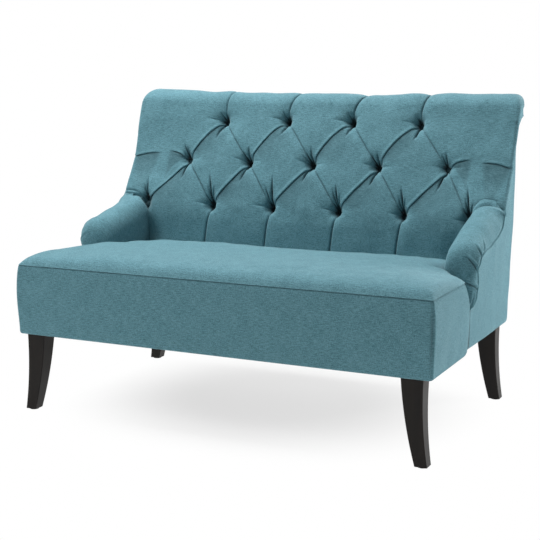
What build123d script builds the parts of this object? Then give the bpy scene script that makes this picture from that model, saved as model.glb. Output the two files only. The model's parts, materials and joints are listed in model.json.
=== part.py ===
from build123d import *
from math import cos, radians, sin
import os

os.makedirs("parts", exist_ok=True)

# A two-place settee with a deep-buttoned back, low swept arms, a tight seat and sabre legs.
# Millimetres. X runs to the sitter's left as seen from the front, Y runs from front to back, Z up.
# The origin is on the floor under the middle of the settee.
# Depths along Y are worked out from the front of the seat and shifted to the middle at the end.

# Overall sizes
WIDTH = 1180
DEPTH = 806
HEIGHT = 845

# Body and seat, set in from the overall width and depth
BODY_BOTTOM = 210
BODY_INSET = 33
SEAT_INSET = 16
REAR_OVERHANG = 92
SEAM_HEIGHT = 396
SEAT_CROWN = 38
SHOULDER_RISE = 24
SHOULDER_RUN = 25
BORDER_BULGE = 6
BORDER_CORNER = 12

# Inside back; the rows share out the height between the top row and the bottom row
BACK_RAKE = 24.5
BUTTON_SPACES = 5
TOP_ROW_DROP = 89
BOTTOM_ROW_RISE = 118
PAD_TUCK = 15
CROWN = 38
PAD_BACK = -4
ROLL_RADIUS = 64
ROLL_END_DROP = 20
ROLL_END_THIN = 10
FOLD_LEVEL = 20
FOLD_END_LEVEL = 25
BUTTON_LEVEL = 2
FOLD_GAP = 6
SIDE_LIFT = 45
SIDE_WRAP = 14
SIDE_DIP = 16
SIDE_LEVEL = 6
OUTER_EASE = 3
DIMPLE_REACH = 45
PAD_EDGE = 30
TUCK_EDGE = 12

# Arms
ARM_FRONT = 322
ARM_WIDTH = 90
ARM_NOSE = 31
NOSE_DROP = 36
NOSE_NARROW = 12
ARM_RISE = 86
ARM_SWEEP = 1.25
ARM_CREASE_DROP = 10
ARM_CREASE_GAP = 12
ARM_LIP = 14
ARM_ROUND = 34
ARM_ROLL_DROP = 64
ARM_PAD = 42

# Legs
FOOT_SPLAY = 9
FOOT_WIDTH = 31
FOOT_DEPTH = 33
LEG_INSET = 1
LEG_TOP_WIDTH = 55
LEG_TOP_DEPTH = 48
LEG_SWEEP = 5.5
LEG_EDGE = 2
FRONT_LEG_DEPTH = 12
REAR_LEG_INSET = 30
GLIDE = 3
GLIDE_DIAMETER = 24

# Frame stock
FABRIC = 3
CLOTH_TURN = 2
FRAME_SETBACK = 23
RAIL_HEIGHT = 78
RAIL_THICK = 36
SIDE_THICK = 24
RAIL_PAD = 21
BRACE_THICK = 22
BRACE_DROP = 15
BRACE_HEIGHT = 50
BLOCK = 60
BLOCK_HEIGHT = 54
LEG_BLOCK_HEIGHT = 50
BACK_RAIL = 22
RAIL_STEP = 2
TACK_RAIL_WIDTH = 50
UPRIGHT_WIDTH = 40
BATTEN_WIDTH = 30
BATTEN_THICK = 14
WINDOW_MARGIN = 45
WINDOW_TOP = 30
WINDOW_SPLAY = 20
WINDOW_CORNER = 12
REAR_LEAN = 6.8
PLATE_TURN = 25

# Suspension, foam and cloth
WEBBING = 2
STRAP_WIDTH = 60
STRAP_END = 6
SEAT_STRAPS = 9
BACK_STRAPS = 10
DECK_CLOTH = 1.5
DECK_FRONT_END = 2
DECK_REAR_END = 10
BACK_FOAM = 30
FOAM_TUCK = 10
SEAT_TUCK = 30
DUST_COVER = 1

# Small parts
BUTTON_DIAMETER = 22
BUTTON_HEIGHT = 6
BUTTON_SIDES = 12
BUTTON_TAPER = 40
BUTTON_SEAT = 1
TIE_DIAMETER = 2.4
WASHER_SIZE = 16
WASHER_THICK = 2
BOLT_DIAMETER = 8
BOLT_IN_LEG = 45
INSERT_DIAMETER = 13
INSERT_LENGTH = 20
SCREW_DIAMETER = 6
SCREW_LENGTH = 70
SCREW_HEAD = 12
SCREW_HEAD_THICK = 4
SCREW_SINK = 2

# Clearance left between neighbouring soft pieces
EASE = 0.3
SEAT_GAP = 4

# Heights and depths that follow from the sizes above
BODY_WIDTH = WIDTH - 2 * BODY_INSET
BODY_REAR = DEPTH - REAR_OVERHANG
SEAT_WIDTH = WIDTH - 2 * SEAT_INSET
FRAME_BOTTOM = BODY_BOTTOM + CLOTH_TURN
LEG_TOP = FRAME_BOTTOM - DUST_COVER
RAIL_TOP = FRAME_BOTTOM + RAIL_HEIGHT
STRAP_TOP = RAIL_TOP + WEBBING
DECK_TOP = STRAP_TOP + DECK_CLOTH
FRAME_HALF = BODY_WIDTH / 2 - FABRIC
FRAME_INSIDE = FRAME_HALF - SIDE_THICK
HALF_WIDTH = WIDTH / 2
HALF_SEAT = SEAT_WIDTH / 2
RAIL_FRONT = BORDER_BULGE + FABRIC + RAIL_PAD
RAIL_REAR = RAIL_FRONT + RAIL_THICK
SEAT_RETURN = ARM_FRONT - SEAT_GAP
ARM_HALF = HALF_WIDTH - ARM_WIDTH
BUTTON_PITCH = 2 * ARM_HALF / BUTTON_SPACES
TUCK_HALF = FRAME_INSIDE - FABRIC
SEAT_STRAP_PITCH = 2 * TUCK_HALF / SEAT_STRAPS
FOOT_OUT = BODY_WIDTH / 2 + FOOT_SPLAY
LEG_TOP_OUT = FRAME_HALF - LEG_INSET
REAR_LEG_DEPTH = BODY_REAR - REAR_LEG_INSET
RAKE = radians(BACK_RAKE)
LEAN = sin(radians(REAR_LEAN)) / cos(radians(REAR_LEAN))
ROLL_CORE = ROLL_RADIUS - CROWN + PAD_BACK
ROLL_LEVEL = CROWN - ROLL_RADIUS
ROLL_HEIGHT = HEIGHT - ROLL_RADIUS
ROLL_DEPTH = DEPTH - ROLL_RADIUS
TOP_ROW_HEIGHT = HEIGHT - TOP_ROW_DROP
BOTTOM_ROW_HEIGHT = SEAM_HEIGHT + BOTTOM_ROW_RISE
MIDDLE_ROW_HEIGHT = (TOP_ROW_HEIGHT + BOTTOM_ROW_HEIGHT) / 2
ROW_PITCH = (TOP_ROW_HEIGHT - MIDDLE_ROW_HEIGHT) / cos(RAKE)
CREASE_SLOPE = -ROW_PITCH * 0.84
ROLL_SLOPE = (ROLL_HEIGHT - MIDDLE_ROW_HEIGHT - ROLL_LEVEL * sin(RAKE)) / cos(RAKE)
MIDDLE_ROW_DEPTH = ROLL_DEPTH - ROLL_SLOPE * sin(RAKE) + ROLL_LEVEL * cos(RAKE)


def back_point(slope, level):
    """Depth and height of a point on the back: up the slope from the middle row, and out of it."""
    depth = MIDDLE_ROW_DEPTH + slope * sin(RAKE) - level * cos(RAKE)
    height = MIDDLE_ROW_HEIGHT + slope * cos(RAKE) + level * sin(RAKE)
    return depth, height


ARM_FRONT_HEIGHT = SEAM_HEIGHT + ARM_RISE
CREASE_DEPTH, CREASE_HEIGHT = back_point(CREASE_SLOPE, CROWN)
ARM_REAR = CREASE_DEPTH - ARM_CREASE_GAP
ARM_REAR_HEIGHT = CREASE_HEIGHT - ARM_CREASE_DROP


def rear_depth(height, inside=0):
    """Depth of the frame's raked rear edge at a height."""
    return BODY_REAR + (height - FRAME_BOTTOM) * LEAN - inside


def shifted(depth):
    """Depth from the front of the seat, turned into Y about the middle."""
    return depth - DEPTH / 2


def block(x_from, x_to, depth_from, depth_to, z_from, z_to):
    """A square-edged block between two corners."""
    size = Box(x_to - x_from, depth_to - depth_from, z_to - z_from)
    middle = ((x_from + x_to) / 2, shifted((depth_from + depth_to) / 2), (z_from + z_to) / 2)
    return Pos(*middle) * size


def side_face(points):
    """A face in the side view from depth and height points."""
    line = Polyline(*[(shifted(depth), height) for depth, height in points], close=True)
    return make_face(line)


def across(face, x_from, x_to):
    """A side-view face carried across the settee."""
    return extrude(Plane.YZ.offset(x_from) * face, amount=x_to - x_from)


def pin(x, depth, z_from, z_to, diameter):
    """An upright round pin."""
    middle = (x, shifted(depth), (z_from + z_to) / 2)
    return Pos(*middle) * Cylinder(diameter / 2, z_to - z_from)


def mirrored(piece):
    """The same piece on the other side."""
    return mirror(piece, Plane.YZ)


def save(piece, name):
    """One STEP file for each named piece."""
    export_step(piece, os.path.join("parts", name + ".step"))


# The plane of the button rows: X across, then up the slope, then out towards the sitter
ROW_PLANE = Plane(
    origin=(0, shifted(MIDDLE_ROW_DEPTH), MIDDLE_ROW_HEIGHT),
    x_dir=(1, 0, 0),
    z_dir=(0, -cos(RAKE), sin(RAKE)),
)


def slab(x_from, x_to, slope_from, slope_to, level_from, level_to):
    """A flat block lying along the raked back."""
    size = Box(x_to - x_from, slope_to - slope_from, level_to - level_from)
    middle = ((x_from + x_to) / 2, (slope_from + slope_to) / 2, (level_from + level_to) / 2)
    return ROW_PLANE * Pos(*middle) * size


def twine(x, slope, level_from, level_to):
    """A straight length of laid twine, six-sided, standing square to the raked back."""
    face = RegularPolygon(TIE_DIAMETER / 2, 6)
    return ROW_PLANE * Pos(x, slope, level_from) * extrude(face, amount=level_to - level_from)


# Button places, as columns of half a pitch, in rows of four, five and six
HALF_PITCH = BUTTON_PITCH / 2
BUTTON_ROWS = {
    ROW_PITCH: (-3, -1, 1, 3),
    0: (-4, -2, 0, 2, 4),
    -ROW_PITCH: (-5, -3, -1, 1, 3, 5),
}
BUTTON_PLACES = []
for row_slope, columns in BUTTON_ROWS.items():
    for column in columns:
        BUTTON_PLACES.append((column * HALF_PITCH, row_slope))
OUTER_FOLDS = (-5, 4)


def side_share(x):
    """How far out a place lies, from nothing in the middle to one at the end buttons."""
    return min(1, abs(x) / (5 * HALF_PITCH)) ** 3


def button_level(x):
    """Level of a button: the end buttons are pulled in less, where the back wraps forward."""
    return BUTTON_LEVEL + SIDE_LIFT * side_share(x)


def fold_x(fold, slope):
    """Where a fold line crosses the back at a height; folds zigzag between neighbouring columns."""
    odd = fold if fold % 2 else fold + 1
    even = fold + 1 if fold % 2 else fold
    reach = max(0, 1 - abs(slope) / ROW_PITCH)
    if fold in OUTER_FOLDS and slope > 0:
        reach = 1
    place = odd + (even - odd) * reach
    return place * HALF_PITCH + FOLD_GAP / 2 * (1 - 2 * (place - fold))


def fold_level(fold, slope):
    """How deep a fold lies at a height: deepest at the buttons."""
    nearest = min(abs(slope - row) for row in BUTTON_ROWS)
    pull = max(0, 1 - nearest / DIMPLE_REACH)
    open_level = FOLD_LEVEL if abs(slope) < ROW_PITCH else FOLD_END_LEVEL
    if fold in OUTER_FOLDS and slope > 0:
        open_level = CROWN - OUTER_EASE
    x = fold_x(fold, slope)
    open_level = open_level + SIDE_WRAP * side_share(x) * wrap_fade(slope)
    return open_level - (open_level - button_level(x)) * pull


def wrap_fade(slope):
    """The wrap at the sides dies away below the bottom row and up at the roll."""
    below = 1 + (slope + ROW_PITCH) / DIMPLE_REACH
    above = (ROLL_SLOPE - slope) / (ROLL_SLOPE - ROW_PITCH / 2)
    return max(0, min(1, below, above))


def side_dip(slope):
    """The fold that runs out level from the end buttons to the side of the back."""
    nearest = min(abs(slope), abs(slope - CREASE_SLOPE))
    return SIDE_DIP * max(0, 1 - nearest / DIMPLE_REACH)


def pad_section(slope, turn, half, edge, thin):
    """One closed section across the buttoned pad, square to its line up the back and over the roll."""
    angle = RAKE + radians(turn)
    outward = (0, -cos(angle), sin(angle))
    if turn:
        depth = ROLL_DEPTH + ROLL_LEVEL * cos(angle)
        height = ROLL_HEIGHT - ROLL_LEVEL * sin(angle)
    else:
        depth, height = back_point(slope, 0)
    plane = Plane(
        origin=(0, shifted(depth), height),
        x_dir=(1, 0, 0),
        z_dir=(0, -outward[2], outward[1]),
    )
    top = CROWN - thin
    wrap = SIDE_WRAP * wrap_fade(slope)
    shoulder = top - OUTER_EASE + wrap * 0.5
    points = [(-half + edge, shoulder)]
    for fold in range(OUTER_FOLDS[0], OUTER_FOLDS[1] + 1):
        points.append((fold_x(fold, slope), fold_level(fold, slope) - thin * 0.5))
    points.append((half - edge, shoulder))
    lines = []
    for index, (start, end) in enumerate(zip(points, points[1:])):
        low = (start[1] + end[1]) / 2
        middle_x = (start[0] + end[0]) / 2
        peak = top + wrap * side_share(middle_x)
        if index in (0, len(points) - 2):
            peak = peak - side_dip(slope)
        width = end[0] - start[0]
        rise = max(EASE, (peak - low) * min(1, width / (1.1 * HALF_PITCH)))
        if width < 2 * FOLD_GAP:
            lines.append(Line(start, end))
        else:
            lines.append(ThreePointArc(start, (middle_x, low + rise), end))
    bow = edge * 0.29
    right_mid = (half - bow, SIDE_LEVEL + (shoulder - SIDE_LEVEL) * 0.71)
    left_mid = (-right_mid[0], right_mid[1])
    right_side = (half, SIDE_LEVEL)
    left_side = (-half, SIDE_LEVEL)
    lines.append(ThreePointArc(points[-1], right_mid, right_side))
    lines.append(Polyline(right_side, (half, PAD_BACK), (-half, PAD_BACK), left_side))
    lines.append(ThreePointArc(left_side, left_mid, points[0]))
    face = make_face(Curve() + lines)
    return (plane * face).faces()[0].outer_wire()


# Buttons, their ties through the foam, and the felt washers behind it
FOAM_BACK = PAD_BACK - BACK_FOAM
one_button = extrude(
    RegularPolygon(BUTTON_DIAMETER / 2, BUTTON_SIDES), amount=BUTTON_HEIGHT, taper=BUTTON_TAPER
)
buttons = []
ties = []
washers = []
for x, slope in BUTTON_PLACES:
    base = button_level(x) + BUTTON_SEAT
    buttons.append(ROW_PLANE * Pos(x, slope, base) * one_button)
    tie = twine(x, slope, FOAM_BACK - WASHER_THICK, base)
    half_felt = WASHER_SIZE / 2
    felt = slab(
        x - half_felt,
        x + half_felt,
        slope - half_felt,
        slope + half_felt,
        FOAM_BACK - WASHER_THICK,
        FOAM_BACK,
    )
    ties.append(tie)
    washers.append(felt - tie)

# Inside back: a quilted pad that follows the slope and rolls over the top rail
PAD_BOTTOM_SLOPE = (SEAM_HEIGHT - PAD_TUCK - MIDDLE_ROW_HEIGHT) / cos(RAKE)
ROLL_TURN = 180 - BACK_RAKE + ROLL_END_DROP
straight_slopes = [
    PAD_BOTTOM_SLOPE,
    -ROW_PITCH - DIMPLE_REACH,
    -ROW_PITCH,
    CREASE_SLOPE,
    -ROW_PITCH / 2,
    0,
    ROW_PITCH / 2,
    ROW_PITCH,
    ROLL_SLOPE,
]
pad_wires = []
for slope in straight_slopes:
    tucked = slope < CREASE_SLOPE
    half = TUCK_HALF if tucked else HALF_WIDTH
    edge = TUCK_EDGE if tucked else PAD_EDGE
    pad_wires.append(pad_section(slope, 0, half, edge, 0))
UP_TURN = 90 - BACK_RAKE
ROLL_STATIONS = (
    (UP_TURN / 2, 0),
    (UP_TURN, 0),
    (UP_TURN + 45, 0),
    (UP_TURN + 90, 0),
    (ROLL_TURN, ROLL_END_THIN),
)
for turn, thin in ROLL_STATIONS:
    pad_wires.append(pad_section(ROLL_SLOPE + ROLL_CORE, turn, HALF_WIDTH, PAD_EDGE, thin))
back_pad = Part() + Solid.make_loft(pad_wires, ruled=True)
for x_from in (-HALF_WIDTH + FABRIC, FRAME_HALF):
    core = Cylinder(ROLL_CORE + 1, HALF_WIDTH - FABRIC - FRAME_HALF, rotation=(0, 90, 0))
    core_x = x_from + (HALF_WIDTH - FABRIC - FRAME_HALF) / 2
    back_pad = back_pad + Pos(core_x, shifted(ROLL_DEPTH), ROLL_HEIGHT) * core

# Foam behind the pad, with a hole for each tie
FOAM_BOTTOM = PAD_BOTTOM_SLOPE + FOAM_TUCK
RAIL_BOTTOM_SLOPE = ROLL_SLOPE - ROLL_CORE - RAIL_STEP
back_foam = slab(-TUCK_HALF, TUCK_HALF, FOAM_BOTTOM, RAIL_BOTTOM_SLOPE, FOAM_BACK, PAD_BACK)
back_foam = back_foam - ties

# Back frame: rounded top rail, tack rail above the seat, two uprights and a batten at the rear
PROFILE_PLANE = Plane(
    origin=(0, shifted(MIDDLE_ROW_DEPTH), MIDDLE_ROW_HEIGHT),
    x_dir=(0, sin(RAKE), cos(RAKE)),
    z_dir=(1, 0, 0),
)
rail_face = Pos((RAIL_BOTTOM_SLOPE + ROLL_SLOPE) / 2, ROLL_LEVEL) * Rectangle(
    ROLL_SLOPE - RAIL_BOTTOM_SLOPE, 2 * ROLL_CORE
)
rail_face = rail_face + Pos(ROLL_SLOPE, ROLL_LEVEL) * Circle(ROLL_CORE)
rail_start = PROFILE_PLANE.offset(-FRAME_INSIDE)
back_top_rail = extrude(rail_start * rail_face, amount=2 * FRAME_INSIDE)
STRAP_BACK = FOAM_BACK - WEBBING
tack_low = FOAM_BOTTOM
tack_high = FOAM_BOTTOM + TACK_RAIL_WIDTH
back_tack_rail = slab(
    -FRAME_INSIDE, FRAME_INSIDE, tack_low, tack_high, STRAP_BACK - BACK_RAIL, STRAP_BACK
)
UPRIGHT_X = 1.5 * HALF_PITCH
back_uprights = []
for x in (-UPRIGHT_X, UPRIGHT_X):
    back_uprights.append(
        slab(
            x - UPRIGHT_WIDTH / 2,
            x + UPRIGHT_WIDTH / 2,
            tack_high,
            RAIL_BOTTOM_SLOPE,
            STRAP_BACK - BACK_RAIL,
            STRAP_BACK,
        )
    )
back_straps = []
for index in range(BACK_STRAPS):
    x = (index - (BACK_STRAPS - 1) / 2) * HALF_PITCH
    half_strap = STRAP_WIDTH / 2
    back_straps.append(
        slab(x - half_strap, x + half_strap, tack_low, RAIL_BOTTOM_SLOPE, STRAP_BACK, FOAM_BACK)
    )

# Side frames: sawn plates that give the arm and the back their outline
FRAME_FRONT = ARM_FRONT + FRAME_SETBACK
PANEL_TOP = ROLL_HEIGHT - ROLL_CORE


def arm_height(depth):
    """Height of the arm's top line at a depth."""
    share = (depth - ARM_FRONT - ARM_NOSE) / (ARM_REAR - ARM_FRONT - ARM_NOSE)
    share = min(1, max(0, share))
    return ARM_FRONT_HEIGHT + (ARM_REAR_HEIGHT - ARM_FRONT_HEIGHT) * share**ARM_SWEEP


arm_depths = []
for share in (0, 0.33, 0.66, 1):
    arm_depths.append(FRAME_FRONT + (ARM_REAR - FRAME_FRONT) * share)
plate_front = [(FRAME_FRONT, RAIL_TOP)]
for depth in arm_depths:
    plate_front.append((depth, arm_height(depth) - ARM_PAD))
plate_front.append(back_point(-ROW_PITCH, PAD_BACK))
plate_front.append(back_point(ROLL_SLOPE, PAD_BACK))
turn_end = radians(-PLATE_TURN)
plate_after_roll = (
    ROLL_DEPTH + ROLL_CORE * cos(turn_end),
    ROLL_HEIGHT + ROLL_CORE * sin(turn_end),
)
plate_rear = [
    plate_after_roll,
    (rear_depth(PANEL_TOP), PANEL_TOP),
    (rear_depth(RAIL_TOP), RAIL_TOP),
    plate_front[0],
]


def on_side(point):
    """A depth and height point, placed in the side view."""
    return shifted(point[0]), point[1]


plate_lines = [
    Polyline(*[on_side(point) for point in plate_front]),
    ThreePointArc(
        on_side(plate_front[-1]),
        on_side((ROLL_DEPTH, ROLL_HEIGHT + ROLL_CORE)),
        on_side(plate_after_roll),
    ),
    Polyline(*[on_side(point) for point in plate_rear]),
]
plate_face = make_face(Curve() + plate_lines)
WINDOW_LOW = RAIL_TOP + WINDOW_MARGIN
WINDOW_TURN = SEAM_HEIGHT + SHOULDER_RISE


def window_front(height):
    """Depth of the window's front edge, set in from the raked front of the plate."""
    depth, level_height = back_point(0, PAD_BACK - WINDOW_MARGIN)
    return depth + (height - level_height) * sin(RAKE) / cos(RAKE)


# The window narrows upwards and stops where it is still wide enough
turn_width = rear_depth(WINDOW_TURN, WINDOW_MARGIN) - window_front(WINDOW_TURN)
WINDOW_HIGH = WINDOW_TURN + (turn_width - WINDOW_TOP) / (sin(RAKE) / cos(RAKE) - LEAN)
window_face = side_face(
    [
        (window_front(WINDOW_TURN) - WINDOW_SPLAY, WINDOW_LOW),
        (rear_depth(WINDOW_LOW, WINDOW_MARGIN), WINDOW_LOW),
        (rear_depth(WINDOW_HIGH, WINDOW_MARGIN), WINDOW_HIGH),
        (window_front(WINDOW_HIGH), WINDOW_HIGH),
        (window_front(WINDOW_TURN), WINDOW_TURN),
    ]
)
window_face = fillet(window_face.vertices(), WINDOW_CORNER)
side_plate = across(plate_face, FRAME_INSIDE, FRAME_HALF)
left_side_frame = across(plate_face - window_face, FRAME_INSIDE, FRAME_HALF)
right_side_frame = mirrored(left_side_frame)
back_pad = back_pad - buttons - ties - back_top_rail - left_side_frame - right_side_frame

# Rear batten that the outside back is tacked to
batten_top = PANEL_TOP
batten_low = PANEL_TOP - BATTEN_WIDTH
rear_batten = across(
    side_face(
        [
            (rear_depth(batten_low), batten_low),
            (rear_depth(batten_top), batten_top),
            (rear_depth(batten_top) - BATTEN_THICK, batten_top),
            (rear_depth(batten_low) - BATTEN_THICK, batten_low),
        ]
    ),
    -FRAME_INSIDE,
    FRAME_INSIDE,
)

# Seat frame
REAR_RAIL_FRONT = BODY_REAR - RAIL_THICK
SCREW_HEIGHT = FRAME_BOTTOM + RAIL_HEIGHT / 2
SCREW_X = FRAME_HALF - SIDE_THICK / 2
screws = []
rear_head = rear_depth(SCREW_HEIGHT) - SCREW_SINK
for x in (-SCREW_X, SCREW_X):
    for head, way in ((RAIL_FRONT, 1), (rear_head, -1)):
        start = (x, shifted(head), SCREW_HEIGHT)
        line = Plane(origin=start, x_dir=(1, 0, 0), z_dir=(0, way, 0))
        shank = Pos(0, 0, SCREW_LENGTH / 2) * Cylinder(SCREW_DIAMETER / 2, SCREW_LENGTH)
        cap = extrude(RegularPolygon(SCREW_HEAD / 2, 6), amount=SCREW_HEAD_THICK)
        screws.append(line * (shank + cap))

# Bolts and threaded inserts that hold the legs
BOLT_X = LEG_TOP_OUT - LEG_TOP_WIDTH * 0.74
FRONT_BOLT = RAIL_FRONT + RAIL_THICK * 0.45
REAR_BOLT = REAR_LEG_DEPTH - LEG_TOP_DEPTH * 0.72
bolts = []
inserts = []
insert_holes = []
bolt_holes = []
for x in (-BOLT_X, BOLT_X):
    for depth in (FRONT_BOLT, REAR_BOLT):
        insert_top = FRAME_BOTTOM + INSERT_LENGTH
        bolt = pin(x, depth, LEG_TOP - BOLT_IN_LEG, insert_top, BOLT_DIAMETER)
        sleeve = pin(x, depth, FRAME_BOTTOM, insert_top, INSERT_DIAMETER)
        bolts.append(bolt)
        bolt_holes.append(bolt)
        insert_holes.append(sleeve)
        inserts.append(sleeve - bolt)

front_rail = block(-FRAME_HALF, FRAME_HALF, RAIL_FRONT, RAIL_REAR, FRAME_BOTTOM, RAIL_TOP)
front_rail = front_rail - screws - insert_holes
rear_rail = across(
    side_face(
        [
            (REAR_RAIL_FRONT, FRAME_BOTTOM),
            (rear_depth(FRAME_BOTTOM), FRAME_BOTTOM),
            (rear_depth(RAIL_TOP), RAIL_TOP),
            (REAR_RAIL_FRONT, RAIL_TOP),
        ]
    ),
    -FRAME_HALF,
    FRAME_HALF,
)
rear_rail = rear_rail - screws
left_side_rail = block(
    FRAME_INSIDE, FRAME_HALF, RAIL_REAR, REAR_RAIL_FRONT, FRAME_BOTTOM, RAIL_TOP
)
left_side_rail = left_side_rail - screws
right_side_rail = mirrored(left_side_rail)
seat_braces = []
for x in (-UPRIGHT_X, UPRIGHT_X):
    seat_braces.append(
        block(
            x - BRACE_THICK / 2,
            x + BRACE_THICK / 2,
            RAIL_REAR,
            REAR_RAIL_FRONT,
            RAIL_TOP - BRACE_DROP - BRACE_HEIGHT,
            RAIL_TOP - BRACE_DROP,
        )
    )
corner_face = make_face(
    Polyline(
        (FRAME_INSIDE, shifted(RAIL_REAR)),
        (FRAME_INSIDE - BLOCK, shifted(RAIL_REAR)),
        (FRAME_INSIDE, shifted(RAIL_REAR + BLOCK)),
        close=True,
    )
)
corner_low = FRAME_BOTTOM + (RAIL_HEIGHT - BLOCK_HEIGHT) / 2
left_corner_block = extrude(Plane.XY.offset(corner_low) * corner_face, amount=BLOCK_HEIGHT)
left_leg_block = block(
    FRAME_INSIDE - BLOCK,
    FRAME_INSIDE,
    REAR_RAIL_FRONT - BLOCK,
    REAR_RAIL_FRONT,
    FRAME_BOTTOM,
    FRAME_BOTTOM + LEG_BLOCK_HEIGHT,
)
left_leg_block = left_leg_block - insert_holes

# Seat suspension
seat_straps = []
for index in range(SEAT_STRAPS):
    x = (index - (SEAT_STRAPS - 1) / 2) * SEAT_STRAP_PITCH
    half_strap = STRAP_WIDTH / 2
    seat_straps.append(
        block(
            x - half_strap,
            x + half_strap,
            RAIL_FRONT + STRAP_END,
            BODY_REAR - STRAP_END,
            RAIL_TOP,
            STRAP_TOP,
        )
    )
deck_cloth = block(
    -TUCK_HALF,
    TUCK_HALF,
    RAIL_FRONT + DECK_FRONT_END,
    BODY_REAR - DECK_REAR_END,
    STRAP_TOP,
    DECK_TOP,
)
DUST_REAR = BODY_REAR - DUST_COVER
dust_cover = block(-FRAME_HALF, FRAME_HALF, RAIL_FRONT, DUST_REAR, LEG_TOP, FRAME_BOTTOM)
dust_cover = dust_cover - bolt_holes

# Seat border: the band round the front and sides, full in the middle of its height
BORDER_LEVELS = (
    (BODY_BOTTOM, BORDER_BULGE),
    ((BODY_BOTTOM + SEAM_HEIGHT) / 2, 0),
    (SEAM_HEIGHT, BORDER_BULGE),
)


def seat_plan(drawn, inset, rear):
    """The outline of the seat from above, rounded at the two front corners."""
    half = HALF_SEAT + (BORDER_BULGE - drawn) * 0.6 - inset
    front = shifted(drawn + inset)
    corner = BORDER_CORNER - inset
    bend = corner * 0.293
    end = shifted(rear)
    lines = [
        Line((-half + corner, front), (half - corner, front)),
        ThreePointArc(
            (half - corner, front),
            (half - bend, front + bend),
            (half, front + corner),
        ),
        Polyline((half, front + corner), (half, end), (-half, end), (-half, front + corner)),
        ThreePointArc(
            (-half, front + corner),
            (-half + bend, front + bend),
            (-half + corner, front),
        ),
    ]
    return make_face(Curve() + lines)


def front_form(inset, rear):
    """The front of the seat as a solid, drawn in at the seam and at the bottom edge."""
    wires = []
    for height, drawn in BORDER_LEVELS:
        face = seat_plan(drawn, inset, rear)
        wires.append((Plane.XY.offset(height) * face).faces()[0].outer_wire())
    return Part() + Solid.make_loft(wires)


border_outside = front_form(0, SEAT_RETURN)
border_inside = front_form(FABRIC, SEAT_RETURN)
seat_border = border_outside - border_inside
rail_room = block(
    -FRAME_HALF, FRAME_HALF, RAIL_FRONT, SEAT_RETURN, BODY_BOTTOM, DECK_TOP
)
below_deck = block(-HALF_WIDTH, HALF_WIDTH, 0, SEAT_RETURN, FRAME_BOTTOM, DECK_TOP)
seat_rail_pad = (border_inside & below_deck) - rail_room

# Seat top: crowned, with a quick shoulder at the seam
SEAT_REAR = ARM_REAR + SEAT_TUCK


def seat_top_form(inset, bottom):
    """The crowned top of the seat, full width, from the front seam to behind the back's face."""
    front = BORDER_BULGE + inset
    half = HALF_SEAT - inset
    base = SEAM_HEIGHT - inset * 0.5
    whole_run = SEAT_REAR - front
    stations = (
        (0, 0.02, 0.02),
        (SHOULDER_RUN * 0.33, 0.55, 0.42),
        (SHOULDER_RUN, 0.88, 0.66),
        (whole_run * 0.15, 1.0, 0.86),
        (whole_run * 0.35, 1.0, 1.0),
        (whole_run * 0.66, 1.0, 0.94),
        (whole_run, 1.0, 0.8),
    )
    wires = []
    for run, shoulder, crown in stations:
        shoulder_z = base + SHOULDER_RISE * shoulder - inset * 0.5
        crown_z = max(base + SEAT_CROWN * crown - inset * 0.5, shoulder_z + EASE)
        inner = half - SHOULDER_RUN
        lines = [
            ThreePointArc((-inner, shoulder_z), (0, crown_z), (inner, shoulder_z)),
            ThreePointArc(
                (inner, shoulder_z),
                (half - SHOULDER_RUN * 0.3, base + (shoulder_z - base) * 0.72),
                (half, base),
            ),
            Polyline((half, base), (half, bottom), (-half, bottom), (-half, base)),
            ThreePointArc(
                (-half, base),
                (-half + SHOULDER_RUN * 0.3, base + (shoulder_z - base) * 0.72),
                (-inner, shoulder_z),
            ),
        ]
        plane = Plane(
            origin=(0, shifted(front + run), 0),
            x_dir=(1, 0, 0),
            z_dir=(0, -1, 0),
        )
        wires.append((plane * make_face(Curve() + lines)).faces()[0].outer_wire())
    whole = Part() + Solid.make_loft(wires, ruled=True)
    plan = seat_plan(BORDER_BULGE, inset, DEPTH)
    return whole & extrude(Plane.XY.offset(BODY_BOTTOM) * plan, amount=HEIGHT)


SEAT_TUCK_HALF = ARM_HALF - EASE
beside_arms = [
    block(SEAT_TUCK_HALF, HALF_WIDTH, SEAT_RETURN, DEPTH, BODY_BOTTOM, HEIGHT),
    block(-HALF_WIDTH, -SEAT_TUCK_HALF, SEAT_RETURN, DEPTH, BODY_BOTTOM, HEIGHT),
]
behind_face = slab(
    -HALF_WIDTH, HALF_WIDTH, -HEIGHT, HEIGHT, -DEPTH, CROWN + EASE
)
top_outside = seat_top_form(0, SEAM_HEIGHT - 2 * FABRIC) - beside_arms - behind_face
top_inside = seat_top_form(FABRIC, SEAM_HEIGHT - 2 * FABRIC) - behind_face
top_inside = top_inside - [
    block(SEAT_TUCK_HALF - FABRIC, HALF_WIDTH, SEAT_RETURN - FABRIC, DEPTH, BODY_BOTTOM, HEIGHT),
    block(-HALF_WIDTH, FABRIC - SEAT_TUCK_HALF, SEAT_RETURN - FABRIC, DEPTH, BODY_BOTTOM, HEIGHT),
]
seat_top_cover = top_outside & block(
    -HALF_WIDTH, HALF_WIDTH, 0, DEPTH, SEAM_HEIGHT, HEIGHT
)
seat_top_cover = seat_top_cover - top_inside
above_deck = block(-HALF_WIDTH, HALF_WIDTH, 0, SEAT_RETURN, DECK_TOP, SEAM_HEIGHT)
seat_middle = block(
    -SEAT_TUCK_HALF, SEAT_TUCK_HALF, SEAT_RETURN - FABRIC, SEAT_REAR, DECK_TOP, SEAM_HEIGHT
)
seat_foam = (border_inside & above_deck) + (seat_middle - behind_face) + top_inside

# Arm pads: rolled over the top of the side frame, and swept down from the back
NOSE_STATIONS = (
    (0, 1),
    (0.2, 0.42),
    (0.5, 0.1),
    (1, 0),
)


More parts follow.
